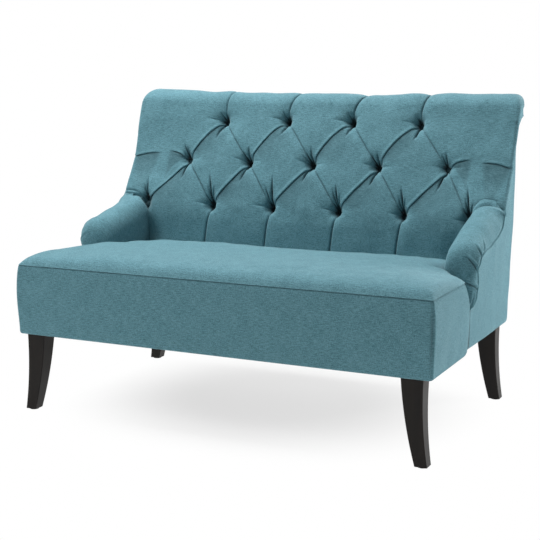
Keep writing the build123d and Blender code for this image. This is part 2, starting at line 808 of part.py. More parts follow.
def arm_section(depth, drop, narrow, roll):
    """One section across the left arm; the outer roll thins out where it meets the back."""
    top = arm_height(depth) - drop
    inside = ARM_HALF + narrow
    outside = HALF_WIDTH - narrow
    crest = (inside + outside) / 2
    bend = ARM_ROUND * roll / ARM_ROLL_DROP
    turn = top - bend
    under = top - roll
    lip = (outside - ARM_LIP, under + roll * 0.1)
    lines = [
        Polyline((FRAME_HALF, under), (FRAME_HALF, DECK_TOP), (inside, DECK_TOP), (inside, turn)),
        ThreePointArc(
            (inside, turn),
            (inside + (crest - inside) * 0.29, turn + bend * 0.71),
            (crest, top),
        ),
        ThreePointArc(
            (crest, top),
            (outside - (outside - crest) * 0.29, turn + bend * 0.71),
            (outside, turn),
        ),
        ThreePointArc((outside, turn), (outside - ARM_LIP * 0.3, turn - bend * 0.41), lip),
        Line(lip, (FRAME_HALF, under)),
    ]
    plane = Plane(origin=(0, shifted(depth), 0), x_dir=(1, 0, 0), z_dir=(0, -1, 0))
    return (plane * make_face(Curve() + lines)).faces()[0].outer_wire()


arm_places = []
for run, small in NOSE_STATIONS:
    nose_depth = ARM_FRONT + ARM_NOSE * run
    arm_places.append((nose_depth, NOSE_DROP * small, NOSE_NARROW * small, ARM_ROLL_DROP))
for share, thin in ((0.25, 1), (0.5, 1), (0.75, 1), (1, 0.85)):
    start = ARM_FRONT + ARM_NOSE
    arm_places.append((start + (ARM_REAR - start) * share, 0, 0, ARM_ROLL_DROP * thin))
arm_places.append((back_point(CREASE_SLOPE, PAD_BACK)[0], 0, 0, ARM_ROLL_DROP * 0.35))
arm_wires = [arm_section(*place) for place in arm_places]
arm_form = Part() + Solid.make_loft(arm_wires, ruled=True)
behind_tuck = slab(-FRAME_INSIDE, FRAME_INSIDE, -HEIGHT, HEIGHT, -DEPTH, CROWN + EASE)
left_arm_pad = arm_form - side_plate - behind_tuck - back_pad
right_arm_pad = mirrored(left_arm_pad)

# Outside panels
panel_line = [(ARM_FRONT, BODY_BOTTOM)]
for depth, drop, narrow, roll in arm_places:
    panel_line.append((depth, arm_height(depth) - drop - roll - EASE))
panel_line.append(back_point(CREASE_SLOPE, PAD_BACK - EASE))
panel_line.append(back_point(RAIL_BOTTOM_SLOPE - RAIL_STEP, PAD_BACK - EASE))
panel_line.append(back_point(RAIL_BOTTOM_SLOPE - RAIL_STEP, ROLL_LEVEL))
panel_line.append((rear_depth(PANEL_TOP), PANEL_TOP))
panel_line.append((rear_depth(BODY_BOTTOM), BODY_BOTTOM))
left_outside_panel = across(side_face(panel_line), FRAME_HALF, FRAME_HALF + FABRIC)
right_outside_panel = mirrored(left_outside_panel)
outside_back_panel = across(
    side_face(
        [
            (rear_depth(BODY_BOTTOM), BODY_BOTTOM),
            (rear_depth(PANEL_TOP), PANEL_TOP),
            (rear_depth(PANEL_TOP, -FABRIC), PANEL_TOP),
            (rear_depth(BODY_BOTTOM, -FABRIC), BODY_BOTTOM),
        ]
    ),
    -BODY_WIDTH / 2,
    BODY_WIDTH / 2,
)


def sabre_leg(x_way, depth_face, depth_way):
    """A sawn leg: swept outwards across the settee, tapered from front to back."""
    foot_in = FOOT_OUT - FOOT_WIDTH
    top_in = LEG_TOP_OUT - LEG_TOP_WIDTH
    half_up = (GLIDE + LEG_TOP) / 2
    sweep_face = make_face(
        Curve()
        + [
            Line((foot_in * x_way, GLIDE), (FOOT_OUT * x_way, GLIDE)),
            ThreePointArc(
                (FOOT_OUT * x_way, GLIDE),
                (((FOOT_OUT + LEG_TOP_OUT) / 2 - LEG_SWEEP) * x_way, half_up),
                (LEG_TOP_OUT * x_way, LEG_TOP),
            ),
            Line((LEG_TOP_OUT * x_way, LEG_TOP), (top_in * x_way, LEG_TOP)),
            ThreePointArc(
                (top_in * x_way, LEG_TOP),
                (((foot_in + top_in) / 2 - LEG_SWEEP) * x_way, half_up),
                (foot_in * x_way, GLIDE),
            ),
        ]
    )
    whole = extrude(Plane.XZ.offset(-DEPTH / 2) * sweep_face, amount=DEPTH)
    taper = across(
        side_face(
            [
                (depth_face, GLIDE),
                (depth_face, LEG_TOP),
                (depth_face + LEG_TOP_DEPTH * depth_way, LEG_TOP),
                (depth_face + FOOT_DEPTH * depth_way, GLIDE),
            ]
        ),
        -HALF_WIDTH,
        HALF_WIDTH,
    )
    leg = whole & taper
    upright = leg.edges().filter_by(lambda edge: edge.length > LEG_TOP / 2)
    leg = chamfer(upright, LEG_EDGE)
    return leg - bolt_holes


front_left_leg = sabre_leg(1, FRONT_LEG_DEPTH, 1)
front_right_leg = sabre_leg(-1, FRONT_LEG_DEPTH, 1)
rear_left_leg = sabre_leg(1, REAR_LEG_DEPTH, -1)
rear_right_leg = sabre_leg(-1, REAR_LEG_DEPTH, -1)
glides = []
GLIDE_X = FOOT_OUT - FOOT_WIDTH / 2
for x in (-GLIDE_X, GLIDE_X):
    for depth in (FRONT_LEG_DEPTH + FOOT_DEPTH / 2, REAR_LEG_DEPTH - FOOT_DEPTH / 2):
        glides.append(pin(x, depth, 0, GLIDE, GLIDE_DIAMETER))

NODES = {
    "front_rail": front_rail,
    "rear_rail": rear_rail,
    "left_side_rail": left_side_rail,
    "right_side_rail": right_side_rail,
    "seat_braces": Compound(seat_braces),
    "corner_blocks": Compound([left_corner_block, mirrored(left_corner_block)]),
    "rear_leg_blocks": Compound([left_leg_block, mirrored(left_leg_block)]),
    "left_side_frame": left_side_frame,
    "right_side_frame": right_side_frame,
    "back_top_rail": back_top_rail,
    "back_tack_rail": back_tack_rail,
    "back_uprights": Compound(back_uprights),
    "rear_batten": rear_batten,
    "seat_webbing": Compound(seat_straps),
    "back_webbing": Compound(back_straps),
    "deck_cloth": deck_cloth,
    "dust_cover": dust_cover,
    "seat_foam": seat_foam,
    "seat_rail_pad": seat_rail_pad,
    "seat_border": seat_border,
    "seat_top_cover": seat_top_cover,
    "back_foam": back_foam,
    "buttoned_back_pad": back_pad,
    "back_buttons": Compound(buttons),
    "button_ties": Compound(ties),
    "button_washers": Compound(washers),
    "left_arm_pad": left_arm_pad,
    "right_arm_pad": right_arm_pad,
    "left_outside_panel": left_outside_panel,
    "right_outside_panel": right_outside_panel,
    "outside_back_panel": outside_back_panel,
    "front_left_leg": front_left_leg,
    "front_right_leg": front_right_leg,
    "rear_left_leg": rear_left_leg,
    "rear_right_leg": rear_right_leg,
    "leg_glides": Compound(glides),
    "leg_bolts": Compound(bolts),
    "leg_inserts": Compound(inserts),
    "frame_screws": Compound(screws),
}
for name, piece in NODES.items():
    save(piece, name)
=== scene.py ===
import json
import math
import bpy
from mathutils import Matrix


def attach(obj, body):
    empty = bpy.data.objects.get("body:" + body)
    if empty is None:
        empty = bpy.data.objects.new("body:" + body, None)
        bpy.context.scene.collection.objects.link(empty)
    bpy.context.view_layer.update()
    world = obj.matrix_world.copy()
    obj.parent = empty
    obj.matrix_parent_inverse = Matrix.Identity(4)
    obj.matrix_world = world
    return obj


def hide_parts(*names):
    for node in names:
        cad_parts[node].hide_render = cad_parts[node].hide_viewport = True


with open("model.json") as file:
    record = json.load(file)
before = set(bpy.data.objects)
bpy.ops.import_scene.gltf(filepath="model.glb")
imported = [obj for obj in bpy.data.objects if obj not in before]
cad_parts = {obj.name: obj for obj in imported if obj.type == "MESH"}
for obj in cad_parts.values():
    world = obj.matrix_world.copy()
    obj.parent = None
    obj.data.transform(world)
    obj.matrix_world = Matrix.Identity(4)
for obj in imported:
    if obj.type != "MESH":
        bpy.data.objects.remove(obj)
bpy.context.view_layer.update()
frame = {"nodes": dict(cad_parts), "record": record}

from types import SimpleNamespace

import bpy
import numpy as np
from mathutils import Vector

join = np.concatenate
scene = bpy.context.scene

# Sizes in millimetres, in the frame of the part: X to the sitter's left, Y to the back, Z up.
# On the inside back, s runs up the slope from the middle row of buttons and a level stands out of it.
# Where the two sides differ, way is 1 on the sitter's left and -1 on the right.
RAKE = math.radians(24.5)
SIN, COS = math.sin(RAKE), math.cos(RAKE)
ROW_Y, ROW_Z = 243.89, 635.0
ROLL_Y, ROLL_Z, ROLL_R = 339.0, 781.0, 64.0
ROLL_S = 172.3
CROWN = 38.0
HALF_W = 590.0
HALF_BODY = 557.0
HALF_SEAT = 574.0
FRONT = -403.0
SEAT_FRONT = FRONT + 6
SEAM_Z = 396.0
BOTTOM_Z = 210.0
ARM_IN = 500.0
BUTTON_R = 9.5
BUTTON_SINK = 14.0
REAR_FOOT_Y, REAR_FOOT_Z = 314.0, 212.0
REAR_LEAN = math.tan(math.radians(6.8))


def rear_y(z):
    """Y of the outside back's cloth at a height."""
    return REAR_FOOT_Y + (z - REAR_FOOT_Z) * REAR_LEAN


def smooth(edge_0, edge_1, value):
    """A smooth step from 0 at the first edge to 1 at the second."""
    t = np.clip((np.asarray(value, float) - edge_0) / (edge_1 - edge_0), 0, 1)
    return t * t * (3 - 2 * t)


def bell(distance, width, power=2.0):
    """1 in the middle, falling to 0 over about the given width."""
    return np.exp(-((distance / width) ** power))


def soft_line(value, places, heights):
    """A smooth curve through a few points."""
    value = np.asarray(value, float)
    places, heights = np.array(places, float), np.array(heights, float)
    steps = np.diff(places)
    slopes = np.diff(heights) / steps
    tangents = np.empty_like(heights)
    tangents[0], tangents[-1] = slopes[0], slopes[-1]
    before, after = slopes[:-1], slopes[1:]
    with np.errstate(divide="ignore", invalid="ignore"):
        tangents[1:-1] = np.where(before * after > 0, 2 * before * after / (before + after), 0)
    clipped = np.clip(value, places[0], places[-1])
    i = np.clip(np.searchsorted(places, clipped) - 1, 0, len(steps) - 1)
    t = (clipped - places[i]) / steps[i]
    return (
        heights[i] * (1 + 2 * t) * (1 - t) ** 2
        + tangents[i] * steps[i] * t * (1 - t) ** 2
        + heights[i + 1] * t * t * (3 - 2 * t)
        + tangents[i + 1] * steps[i] * t * t * (t - 1)
    )


def waves(p, q, pitch, seed, count=14):
    """Gentle unevenness from a few crossing waves, about 1 high."""
    local = np.random.default_rng(seed)
    total = np.zeros(np.broadcast(p, q).shape)
    for _ in range(count):
        turn = local.uniform(0, 2 * np.pi)
        length = pitch * local.uniform(0.6, 1.8)
        phase = local.uniform(0, 2 * np.pi)
        total += np.sin(2 * np.pi * (p * np.cos(turn) + q * np.sin(turn)) / length + phase)
    return total / math.sqrt(count / 2)


def points_of(x, y, z):
    """Points from their three coordinates."""
    return np.stack(np.broadcast_arrays(x, y, z), -1)


# Meshes


def arc_lengths(points, axis):
    """Metres along a grid of points from its middle line."""
    steps = np.diff(points, axis=axis, prepend=points.take([0], axis))
    total = np.cumsum(np.linalg.norm(steps, axis=2), axis)
    return (total - total.take([total.shape[axis] // 2], axis)) / 1000


def blurred(values, cells):
    """A grid of values softened over some cells each way."""
    reach = int(2.5 * cells)
    weights = np.exp(-0.5 * (np.arange(-reach, reach + 1) / cells) ** 2)
    weights /= weights.sum()
    wide = np.pad(values, reach, mode="edge")
    for axis, size in enumerate(values.shape):
        wide = sum(w * wide.take(range(k, k + size), axis) for k, w in enumerate(weights))
    return wide


def sunken(height, cells, allowance, depth):
    """How much shade to paint into a hollow: 0 where the cloth lies level with its surroundings, 1 deep
    below.
    """
    return np.clip((blurred(height, cells) - height - allowance) / depth, 0, 1)


def add_mesh(name, points, faces, cloth, nodes, crease=None, slot="teal_weave"):
    """A piece from millimetre points, in place of the named solids."""
    mesh = bpy.data.meshes.new(name)
    places = np.reshape(points, (-1, 3)) / 1000
    mesh.from_pydata(places.tolist(), [], faces.tolist(), shade_flat=False)
    uv = np.reshape(cloth, (-1, 2))[faces.ravel()]
    mesh.uv_layers.new(name="cloth").data.foreach_set("uv", uv.astype(np.float32).ravel())
    # The crease values are painted shade, stored for the cloth's colour to be darkened by.
    if crease is not None:
        shade = mesh.attributes.new("crease", "FLOAT", "POINT")
        shade.data.foreach_set("value", crease.astype(np.float32).ravel())
    mesh.validate()
    mesh.materials.append(FINISHES[slot])
    piece = bpy.data.objects.new(name, mesh)
    scene.collection.objects.link(piece)
    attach(piece, "root")
    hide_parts(*nodes)
    return piece


def add_grid(name, points, *nodes, flip=False, cloth=None, **finish):
    """A piece from a grid of points."""
    rows, columns = points.shape[:2]
    first = np.arange(rows * columns).reshape(rows, columns)[:-1, :-1].reshape(-1, 1)
    faces = first + (0, 1, columns + 1, columns)
    if flip:
        faces = faces[:, ::-1]
    if cloth is None:
        cloth = np.stack([arc_lengths(points, 1), arc_lengths(points, 0)], -1)
    return add_mesh(name, points, faces, cloth, nodes, **finish)


# Materials


class Nodes:
    """A short way to write the nodes of a material or world."""

    def __init__(self, owner, shader="Principled BSDF"):
        owner.use_nodes = True
        self.owner = owner
        self.tree = owner.node_tree
        self.shader = self.tree.nodes[shader]

    def fill(self, node, inputs):
        for key, value in inputs.items():
            if isinstance(value, bpy.types.NodeSocket):
                self.tree.links.new(value, node.inputs[key])
            else:
                node.inputs[key].default_value = value

    def add(self, kind, inputs=None, **settings):
        node = self.tree.nodes.new("ShaderNode" + kind)
        for key, value in settings.items():
            setattr(node, key, value)
        self.fill(node, inputs or {})
        return node

    def math(self, operation, *values, clamp=False):
        inputs = dict(enumerate(values))
        return self.add("Math", inputs, operation=operation, use_clamp=clamp).outputs[0]

    def plus(self, first, second, clamp=False):
        return self.math("ADD", first, second, clamp=clamp)

    def times(self, first, second):
        return self.math("MULTIPLY", first, second)

    def swing(self, value, gain):
        """A noise as a swing about zero."""
        return self.times(self.math("SUBTRACT", value, 0.5), gain)

    def noise(self, vector, scale, detail=2.0, roughness=0.5):
        inputs = {"Vector": vector, "Scale": scale, "Detail": detail, "Roughness": roughness}
        return self.add("TexNoise", inputs).outputs["Fac"]

    def stretch(self, vector, *scale):
        return self.add("Mapping", {"Vector": vector, "Scale": scale}).outputs["Vector"]

    def blend(self, factor, first, second, kind="MIX"):
        inputs = {0: factor, 6: first, 7: second}
        return self.add("Mix", inputs, data_type="RGBA", blend_type=kind).outputs[2]

    def darken(self, colour, value):
        """A colour multiplied by a grey."""
        grey = self.add("CombineXYZ", {"X": value, "Y": value, "Z": value}).outputs[0]
        return self.blend(1.0, colour, grey, "MULTIPLY")

    def ramp(self, value, low, high, out_low, out_high, **settings):
        inputs = {"Value": value, "From Min": low, "From Max": high, "To Min": out_low, "To Max": out_high}
        return self.add("MapRange", inputs, **settings).outputs["Result"]

    def bump(self, height, strength, distance):
        node = self.add("Bump", {"Height": height, "Strength": strength, "Distance": distance})
        return node.outputs["Normal"]


def woven(n, place, threads):
    """Height of a plain weave: rounded threads that pass over and under each other."""
    split = n.add("SeparateXYZ", {"Vector": n.stretch(place, threads, threads, 1)}).outputs
    wander = 1.6
    u = n.plus(split[0], n.times(n.noise(place, 120.0), wander))
    v = n.plus(split[1], n.times(n.noise(n.stretch(place, 0.9, 1.1, 1), 140.0), wander))
    across = n.math("ABSOLUTE", n.math("SINE", n.times(u, math.pi)))
    along = n.math("ABSOLUTE", n.math("SINE", n.times(v, math.pi)))
    parity = n.math("MODULO", n.plus(n.math("FLOOR", u), n.math("FLOOR", v)), 2.0)
    over = n.math("GREATER_THAN", n.math("ABSOLUTE", parity), 0.5)
    roundness = 0.35
    warp = n.times(over, n.times(across, n.math("POWER", along, roundness)))
    under = n.math("SUBTRACT", 1.0, over)
    weft = n.times(under, n.times(along, n.math("POWER", across, roundness)))
    return n.plus(warp, weft)


def teal_cloth():
    """Plain-woven cloth of heathered teal yarns with fine slubs along the weft."""
    n = Nodes(bpy.data.materials.new("teal_weave"))
    place = n.add("UVMap", uv_map="cloth").outputs["UV"]
    threads_per_metre = 780.0
    weave = woven(n, place, threads_per_metre)
    weft = n.noise(n.stretch(place, 70.0, 480.0, 1), 1.0, 2.0, 0.6)
    warp = n.noise(n.stretch(place, 820.0, 90.0, 1), 1.0, 2.0, 0.6)
    heather = n.plus(n.times(weft, 0.62), n.times(warp, 0.38))
    fleck = n.noise(place, 420.0, 3.0, 0.65)
    cloud = n.noise(place, 22.0)
    tone = n.plus(n.swing(heather, 1.5), 0.5)
    tone = n.plus(tone, n.swing(fleck, 1.3))
    tone = n.plus(tone, n.swing(cloud, 0.22), clamp=True)
    dark_yarn = (0.012, 0.070, 0.088, 1)
    light_yarn = (0.196, 0.408, 0.478, 1)
    colour = n.blend(tone, dark_yarn, light_yarn)
    colour = n.darken(colour, n.ramp(weave, 0.0, 1.0, 0.74, 1.06))
    # The crease attribute is painted shade: the cloth's colour is darkened, down to 0.16 of itself, in
    # creases, pits, seams and gaps where shade falls.
    crease = n.add("Attribute", attribute_name="crease").outputs["Fac"]
    colour = n.darken(colour, n.ramp(crease, 0.0, 1.0, 1.0, 0.16))
    lift = n.plus(n.times(weave, 0.55), n.times(heather, 0.5))
    lift = n.plus(lift, n.times(fleck, 0.35))
    n.fill(n.shader, {
        "Base Color": colour,
        "Roughness": n.ramp(tone, 0.0, 1.0, 0.96, 0.84),
        "Specular IOR Level": 0.18,
        "Sheen Weight": 0.32,
        "Sheen Roughness": 0.42,
        "Sheen Tint": (0.62, 0.80, 0.86, 1),
        "Normal": n.bump(lift, 0.42, 0.0006),
    })
    return n.owner


def grained_wood(name, dark, light, scale, roughness, gloss, coat):
    """Wood with long grain, pores and a little wear in its polish."""
    n = Nodes(bpy.data.materials.new(name))
    place = n.add("TexCoord").outputs["Object"]
    swirl = n.add("TexNoise", {"Vector": place, "Scale": 6.0}).outputs["Color"]
    push = n.add("VectorMath", {0: swirl, "Scale": 0.03}, operation="SCALE").outputs[0]
    bent = n.add("VectorMath", {0: place, 1: push}, operation="ADD").outputs[0]
    grain = n.noise(n.stretch(bent, scale, scale, scale * 0.045), 1.0, 6.0, 0.62)
    pores = n.noise(n.stretch(place, scale * 7, scale * 7, scale * 0.3), 1.0)
    cloud = n.noise(place, 9.0)
    tone = n.plus(n.times(grain, 0.8), n.times(cloud, 0.25), clamp=True)
    lift = n.plus(n.times(grain, 0.5), n.times(pores, 0.5))
    n.fill(n.shader, {
        "Base Color": n.blend(n.ramp(tone, 0.3, 0.75, 0.0, 1.0), dark, light),
        "Roughness": n.ramp(cloud, 0.3, 0.7, roughness - 0.05, roughness + 0.07),
        "Specular IOR Level": gloss,
        "Coat Weight": coat,
        "Coat Roughness": 0.24,
        "Normal": n.bump(lift, 0.18, 0.0005),
    })
    return n.owner


def speckled(name, dark, light, scale, roughness, bump_mm, stretch=(1, 1, 1), metal=0.0):
    """A plain material with fine mottling and a small-scale surface."""
    n = Nodes(bpy.data.materials.new(name))
    place = n.add("TexCoord").outputs["Object"]
    fine = n.noise(n.stretch(place, *stretch), scale, 4.0, 0.6)
    cloud = n.noise(place, scale * 0.06)
    tone = n.plus(n.times(fine, 0.7), n.times(cloud, 0.3))
    n.fill(n.shader, {
        "Base Color": n.blend(n.ramp(tone, 0.3, 0.7, 0.0, 1.0), dark, light),
        "Roughness": n.ramp(fine, 0.3, 0.7, roughness - 0.06, roughness + 0.06),
        "Metallic": metal,
        "Normal": n.bump(fine, 0.3, bump_mm / 1000),
    })
    return n.owner


# Woods: darkest and lightest colour, scale of the grain, roughness, gloss and coat
WOODS = {
    "leg_wood": ((0.006, 0.005, 0.0045, 1), (0.014, 0.011, 0.009, 1), 60.0, 0.44, 0.17, 0.04),
    "frame_wood": ((0.46, 0.32, 0.19, 1), (0.70, 0.54, 0.36, 1), 45.0, 0.72, 0.3, 0.0),
}
# Plain finishes: darkest and lightest colour, scale of the mottling, roughness, relief, stretch and metal
PLAIN = {
    "lining_cloth": ((0.012, 0.012, 0.013, 1), (0.04, 0.04, 0.042, 1), 900.0, 0.9, 0.2),
    "webbing": ((0.36, 0.31, 0.24, 1), (0.58, 0.52, 0.42, 1), 700.0, 0.85, 0.2, (1, 0.2, 1)),
    "foam": ((0.74, 0.66, 0.44, 1), (0.88, 0.81, 0.60, 1), 1200.0, 0.95, 0.4),
    "zinc_steel": ((0.50, 0.50, 0.48, 1), (0.72, 0.72, 0.70, 1), 500.0, 0.38, 0.05, (1, 1, 1), 1.0),
    "glide_plastic": ((0.012, 0.012, 0.012, 1), (0.03, 0.03, 0.03, 1), 1500.0, 0.5, 0.05),
}
FINISHES = {"teal_weave": teal_cloth()}
FINISHES.update({slot: grained_wood(slot, *looks) for slot, looks in WOODS.items()})
FINISHES.update({slot: speckled(slot, *looks) for slot, looks in PLAIN.items()})

# Inside back: buttons, folds and creases on a raked face that rolls over at the top

# Buttons row by row, from the sitter's right to left: across, up the slope and out of it
TOP_ROW = [(-301, 123, 6), (-97, 127, -4), (107, 127, -4), (311, 123, 6)]
MIDDLE_ROW = [(-399, -5, 16), (-197, -6, 1), (5, -6, 0), (207, -6, 1), (409, -5, 16)]
BOTTOM_ROW = [
    (-508, -151, 33), (-293, -143, 1), (-98, -141, -4), (108, -141, -4), (303, -143, 1), (496, -153, 33)
]
PLACED_ROWS = (TOP_ROW, MIDDLE_ROW, BOTTOM_ROW)
ROWS = [[(x, s, level - BUTTON_SINK) for x, s, level in row] for row in PLACED_ROWS]
BUTTONS = [button for row in ROWS for button in row]
# Buttons further out than this sit beside the arms
BESIDE_ARM = 450
# Buttons that a fold joins are this far apart across, within the slack
FOLD_RUN, FOLD_SLACK = 100, 25

# Wrinkles drawn towards each button of a row: bearing from it in degrees, length and depth
TOP_RAYS = [(178, 60, 4.6), (-99, 66, 5.6), (-90, 48, 4.8), (122, 32, 4.2), (100, 30, 3.6)]
MIDDLE_RAYS = [
    (172, 54, 4.2), (0, 50, 3.4), (-100, 70, 5.6), (-88, 36, 3.6),
    (118, 48, 5.2), (98, 46, 5.0), (140, 36, 3.6),
]
BOTTOM_RAYS = [(178, 56, 4.2), (4, 36, 2.4), (98, 96, 6.6), (111, 68, 5.4), (86, 54, 4.6), (128, 40, 3.8)]

# Turns of the folds that rise to the top and middle rows: shares of the way across and up
FOLD_TURNS = (
    ((0.15, 0.29), (0.60, 0.80), (0.96, 0.95)),
    ((0.13, 0.20), (0.60, 0.56), (0.96, 0.92)),
)
# Creases over the roll, above each button of the top row: lean and size
ROLL_CREASES = ((6, 0.6), (24, 0.85), (30, 1.1), (14, 1.0))

# Levels up the slope of the back's side edge, forward at the top and the arms, and of its middle
EDGE_S = (-300, -129, -93, -48, 0, 39, 74, 107, 137, 172, 215, 260, 300, 420)
EDGE_LEVELS = (50, 48, 46, 40, 37, 38, 40, 42.5, 45.5, 47.5, 42, 37, 34, 30)
FACE_S = (-300, -248, -215, -180, -140, 0, 130, 200, 280, 420)
FACE_LEVELS = (-10, 8, 19, 29, 35, 38.5, 35.5, 34, 32.5, 32)


def bezier(p0, p1, p2, p3, count=60):
    """Points along a cubic curve."""
    t = np.linspace(0, 1, count)[:, None]
    p0, p1, p2, p3 = (np.array(p, float) for p in (p0, p1, p2, p3))
    return (1 - t) ** 3 * p0 + 3 * t * (1 - t) ** 2 * p1 + 3 * t * t * (1 - t) * p2 + t**3 * p3


def strand(x0, s0, *offsets, count=60):
    """A cubic curve by the offsets of its four points from a place."""
    return bezier(*((x0 + across, s0 + up) for across, up in offsets), count)


def near_line(x, s, line, reach):
    """Signed distance to a line, share along it, and a mask of the points within reach."""
    low, high = line.min(0) - reach, line.max(0) + reach
    mask = (x > low[0]) & (x < high[0]) & (s > low[1]) & (s < high[1])
    px, ps = x[mask], s[mask]
    best = np.full(px.shape, np.inf)
    sign = np.ones(px.shape)
    share = np.zeros(px.shape)
    lengths = join([[0], np.cumsum(np.linalg.norm(np.diff(line, axis=0), axis=1))])
    for k in range(len(line) - 1):
        step = line[k + 1] - line[k]
        size = float(step @ step)
        t = np.clip(((px - line[k, 0]) * step[0] + (ps - line[k, 1]) * step[1]) / size, 0, 1)
        dx, ds = px - line[k, 0] - t * step[0], ps - line[k, 1] - t * step[1]
        gap = np.hypot(dx, ds)
        closer = gap < best
        best = np.where(closer, gap, best)
        sign = np.where(closer, np.sign(step[0] * ds - step[1] * dx), sign)
        share = np.where(closer, (lengths[k] + t * math.sqrt(size)) / lengths[-1], share)
    return sign * best, share, mask


def faded(share, ends):
    """1 along a line, falling to 0 over the given shares of its ends."""
    start, end = max(ends[0], 1e-5), max(ends[1], 1e-5)
    return smooth(-1e-6, start, share) * smooth(1 + 1e-6, 1 - end, share)


class Field:
    """A level over the back's face, a sideways shift where the cloth overlaps, and a painted shade."""

    def __init__(self, x, s):
        self.x, self.s = x, s
        self.level = base_level(x, s)
        self.shift_x = np.zeros(x.shape)
        self.shift_s = np.zeros(x.shape)
        self.shade = np.zeros(x.shape)

    def crease(self, line, depth, width, broad, broad_width, ends=(0.0, 0.0)):
        """A thin crease, with a broad shallow valley round it."""
        d, share, mask = near_line(self.x, self.s, line, 3.2 * max(width, broad_width))
        size = np.abs(d)
        dip = depth * bell(size, width, 1.4) + broad * bell(size, broad_width, 1.6)
        self.level[mask] -= faded(share, ends) * dip

    def fold(self, line, depth, lip, overlap, broad, ends, shade, shade_width):
        """A fold: the cloth on the left of the line laps over a deep crease on its right."""
        reach = 100.0
        d, share, mask = near_line(self.x, self.s, line, reach)
        fade = faded(share, ends)
        size = np.abs(d)
        over = smooth(-2.2, 1.6, d)
        below = depth * bell(size, 2.9, 1.4) + broad * bell(size, 18.0, 1.5)
        above = 0.5 * broad * bell(size, 24.0, 1.5) - lip * bell(size - 3.0, 3.2)
        self.level[mask] -= fade * (over * above + (1 - over) * below)
        # Painted shadow on the cloth below the lapping lip, fading away from the fold.
        self.shade[mask] += faded(share, (0.22, 0.22)) * (1 - over) * shade * np.exp(-size / shade_width)
        tangent = np.gradient(line, axis=0)
        tangent /= np.linalg.norm(tangent, axis=1)[:, None]
        pick = np.clip((share * (len(line) - 1)).round().astype(int), 0, len(line) - 1)
        push = fade * overlap * over * bell(np.maximum(d, 0), 6.0)
        self.shift_x[mask] += push * tangent[pick, 1]
        self.shift_s[mask] -= push * tangent[pick, 0]

    def hollow(self, x0, s0, depth, wide):
        """The pit of a button: a steep throat, longer above and below, in a wide shallow dip."""
        dx, ds = self.x - x0, self.s - s0
        r = np.hypot(dx, ds) + 1e-9
        up, side = ds / r, dx / r
        rightward = np.maximum(-side, 0) * (1 - np.abs(up))
        reach = wide * (4.2 + 2.2 * np.maximum(up, 0) + 1.5 * rightward + 3.5 * np.maximum(-up, 0))
        rim = np.maximum(r - BUTTON_R + 2.5, 0)
        self.level -= 0.80 * depth * bell(rim, reach, 1.2)
        self.level -= 0.13 * depth * bell(r, 26.0, 1.4)
        self.level -= 0.05 * depth * bell(r, 60.0, 1.6)
        throat = 3.4 * bell(rim - 0.6 * reach, 0.5 * reach)
        self.shift_x -= throat * side
        self.shift_s -= throat * up

    def seat_button(self, x0, s0, level):
        """Cloth under a button lies flat at the button's level."""
        r = np.hypot(self.x - x0, self.s - s0)
        flat = smooth(BUTTON_R + 2.0, BUTTON_R - 2.0, r)
        rim = BUTTON_R + 30
        lowest = level - 40 * smooth(BUTTON_R, rim, r)
        self.level = np.where(r < rim, np.maximum(self.level, lowest), self.level)
        self.level = self.level * (1 - flat) + level * flat
        self.shift_x *= 1 - flat
        self.shift_s *= 1 - flat


def base_level(x, s):
    """The back's face before it is buttoned: it thins towards the seat and the top."""
    out = np.abs(x)
    middle, edge = soft_line(s, FACE_S, FACE_LEVELS), soft_line(s, EDGE_S, EDGE_LEVELS)
    side = smooth(250, 560, out)
    above = smooth(-250, -135, s)
    corner = 6 * smooth(330, 500, out) * smooth(-40, -130, s) * smooth(600, 500, out) * above
    lean = -5.0 * np.sign(x) * smooth(300, 580, out) * smooth(20, 130, s)
    tuck = 20 * smooth(420, 505, out) * smooth(-150, -255, s)
    dished = 3.0 * smooth(400, 460, out) * smooth(588, 540, out) * smooth(5, -110, s) * above
    return middle + (edge - middle) * side * (0.25 + 0.75 * above) + corner + lean - tuck - dished


def diagonal(field, lower, upper, turns, bend):
    """The fold or crease between two neighbouring buttons of two rows."""
    (lx, ls, _), (ux, us, _) = lower, upper
    run, rise = ux - lx, us - ls
    if run > 0:
        bends = [(lx + run * (a + bend), ls + rise * b) for a, b in turns]
        line = bezier((lx + 5, ls + 8), *bends)
        field.fold(line, 7.0, 2.0, 4.6, broad=2.6, ends=(0.03, 0.03), shade=0.52, shade_width=42.0)
    else:
        bends = [(ux - run * a, us - rise * (b + bend)) for a, b in ((0.42, 0.38), (0.76, 0.76))]
        line = bezier((ux + 5, us - 9), *bends, (lx - 6, ls + 10))
        field.crease(line, 4.6, 1.9, 1.6, 11.0, ends=(0.02, 0.02))


def diagonals(field, local):
    """Folds and creases that join the buttons into diamonds."""
    for row, turns in enumerate(FOLD_TURNS):
        for upper in ROWS[row]:
            for lower in ROWS[row + 1]:
                if abs(abs(upper[0] - lower[0]) - FOLD_RUN) < FOLD_SLACK:
                    diagonal(field, lower, upper, turns, local.uniform(-0.04, 0.04))


def uprights(field):
    """Creases up over the roll and down into the seat."""
    for (x0, s0, _), (lean, size) in zip(ROWS[0], ROLL_CREASES):
        line = strand(x0, s0, (1, 8), (-2, 45), (lean, 90), (1.4 * lean, 250))
        field.crease(line, 5.5 * size**0.5, 2.3, 3.8 * size**2, 15.0, ends=(0.0, 0.25))
    for x0, s0, _ in ROWS[2]:
        slant, depth = (0, 9.0) if abs(x0) > BESIDE_ARM else (1, 5.5)
        line = strand(x0, s0, (0, -8), (-slant, -30), (-9 * slant, -55), (-11 * slant, -150))
        field.crease(line, depth, 2.4, 2.6, 14.0)


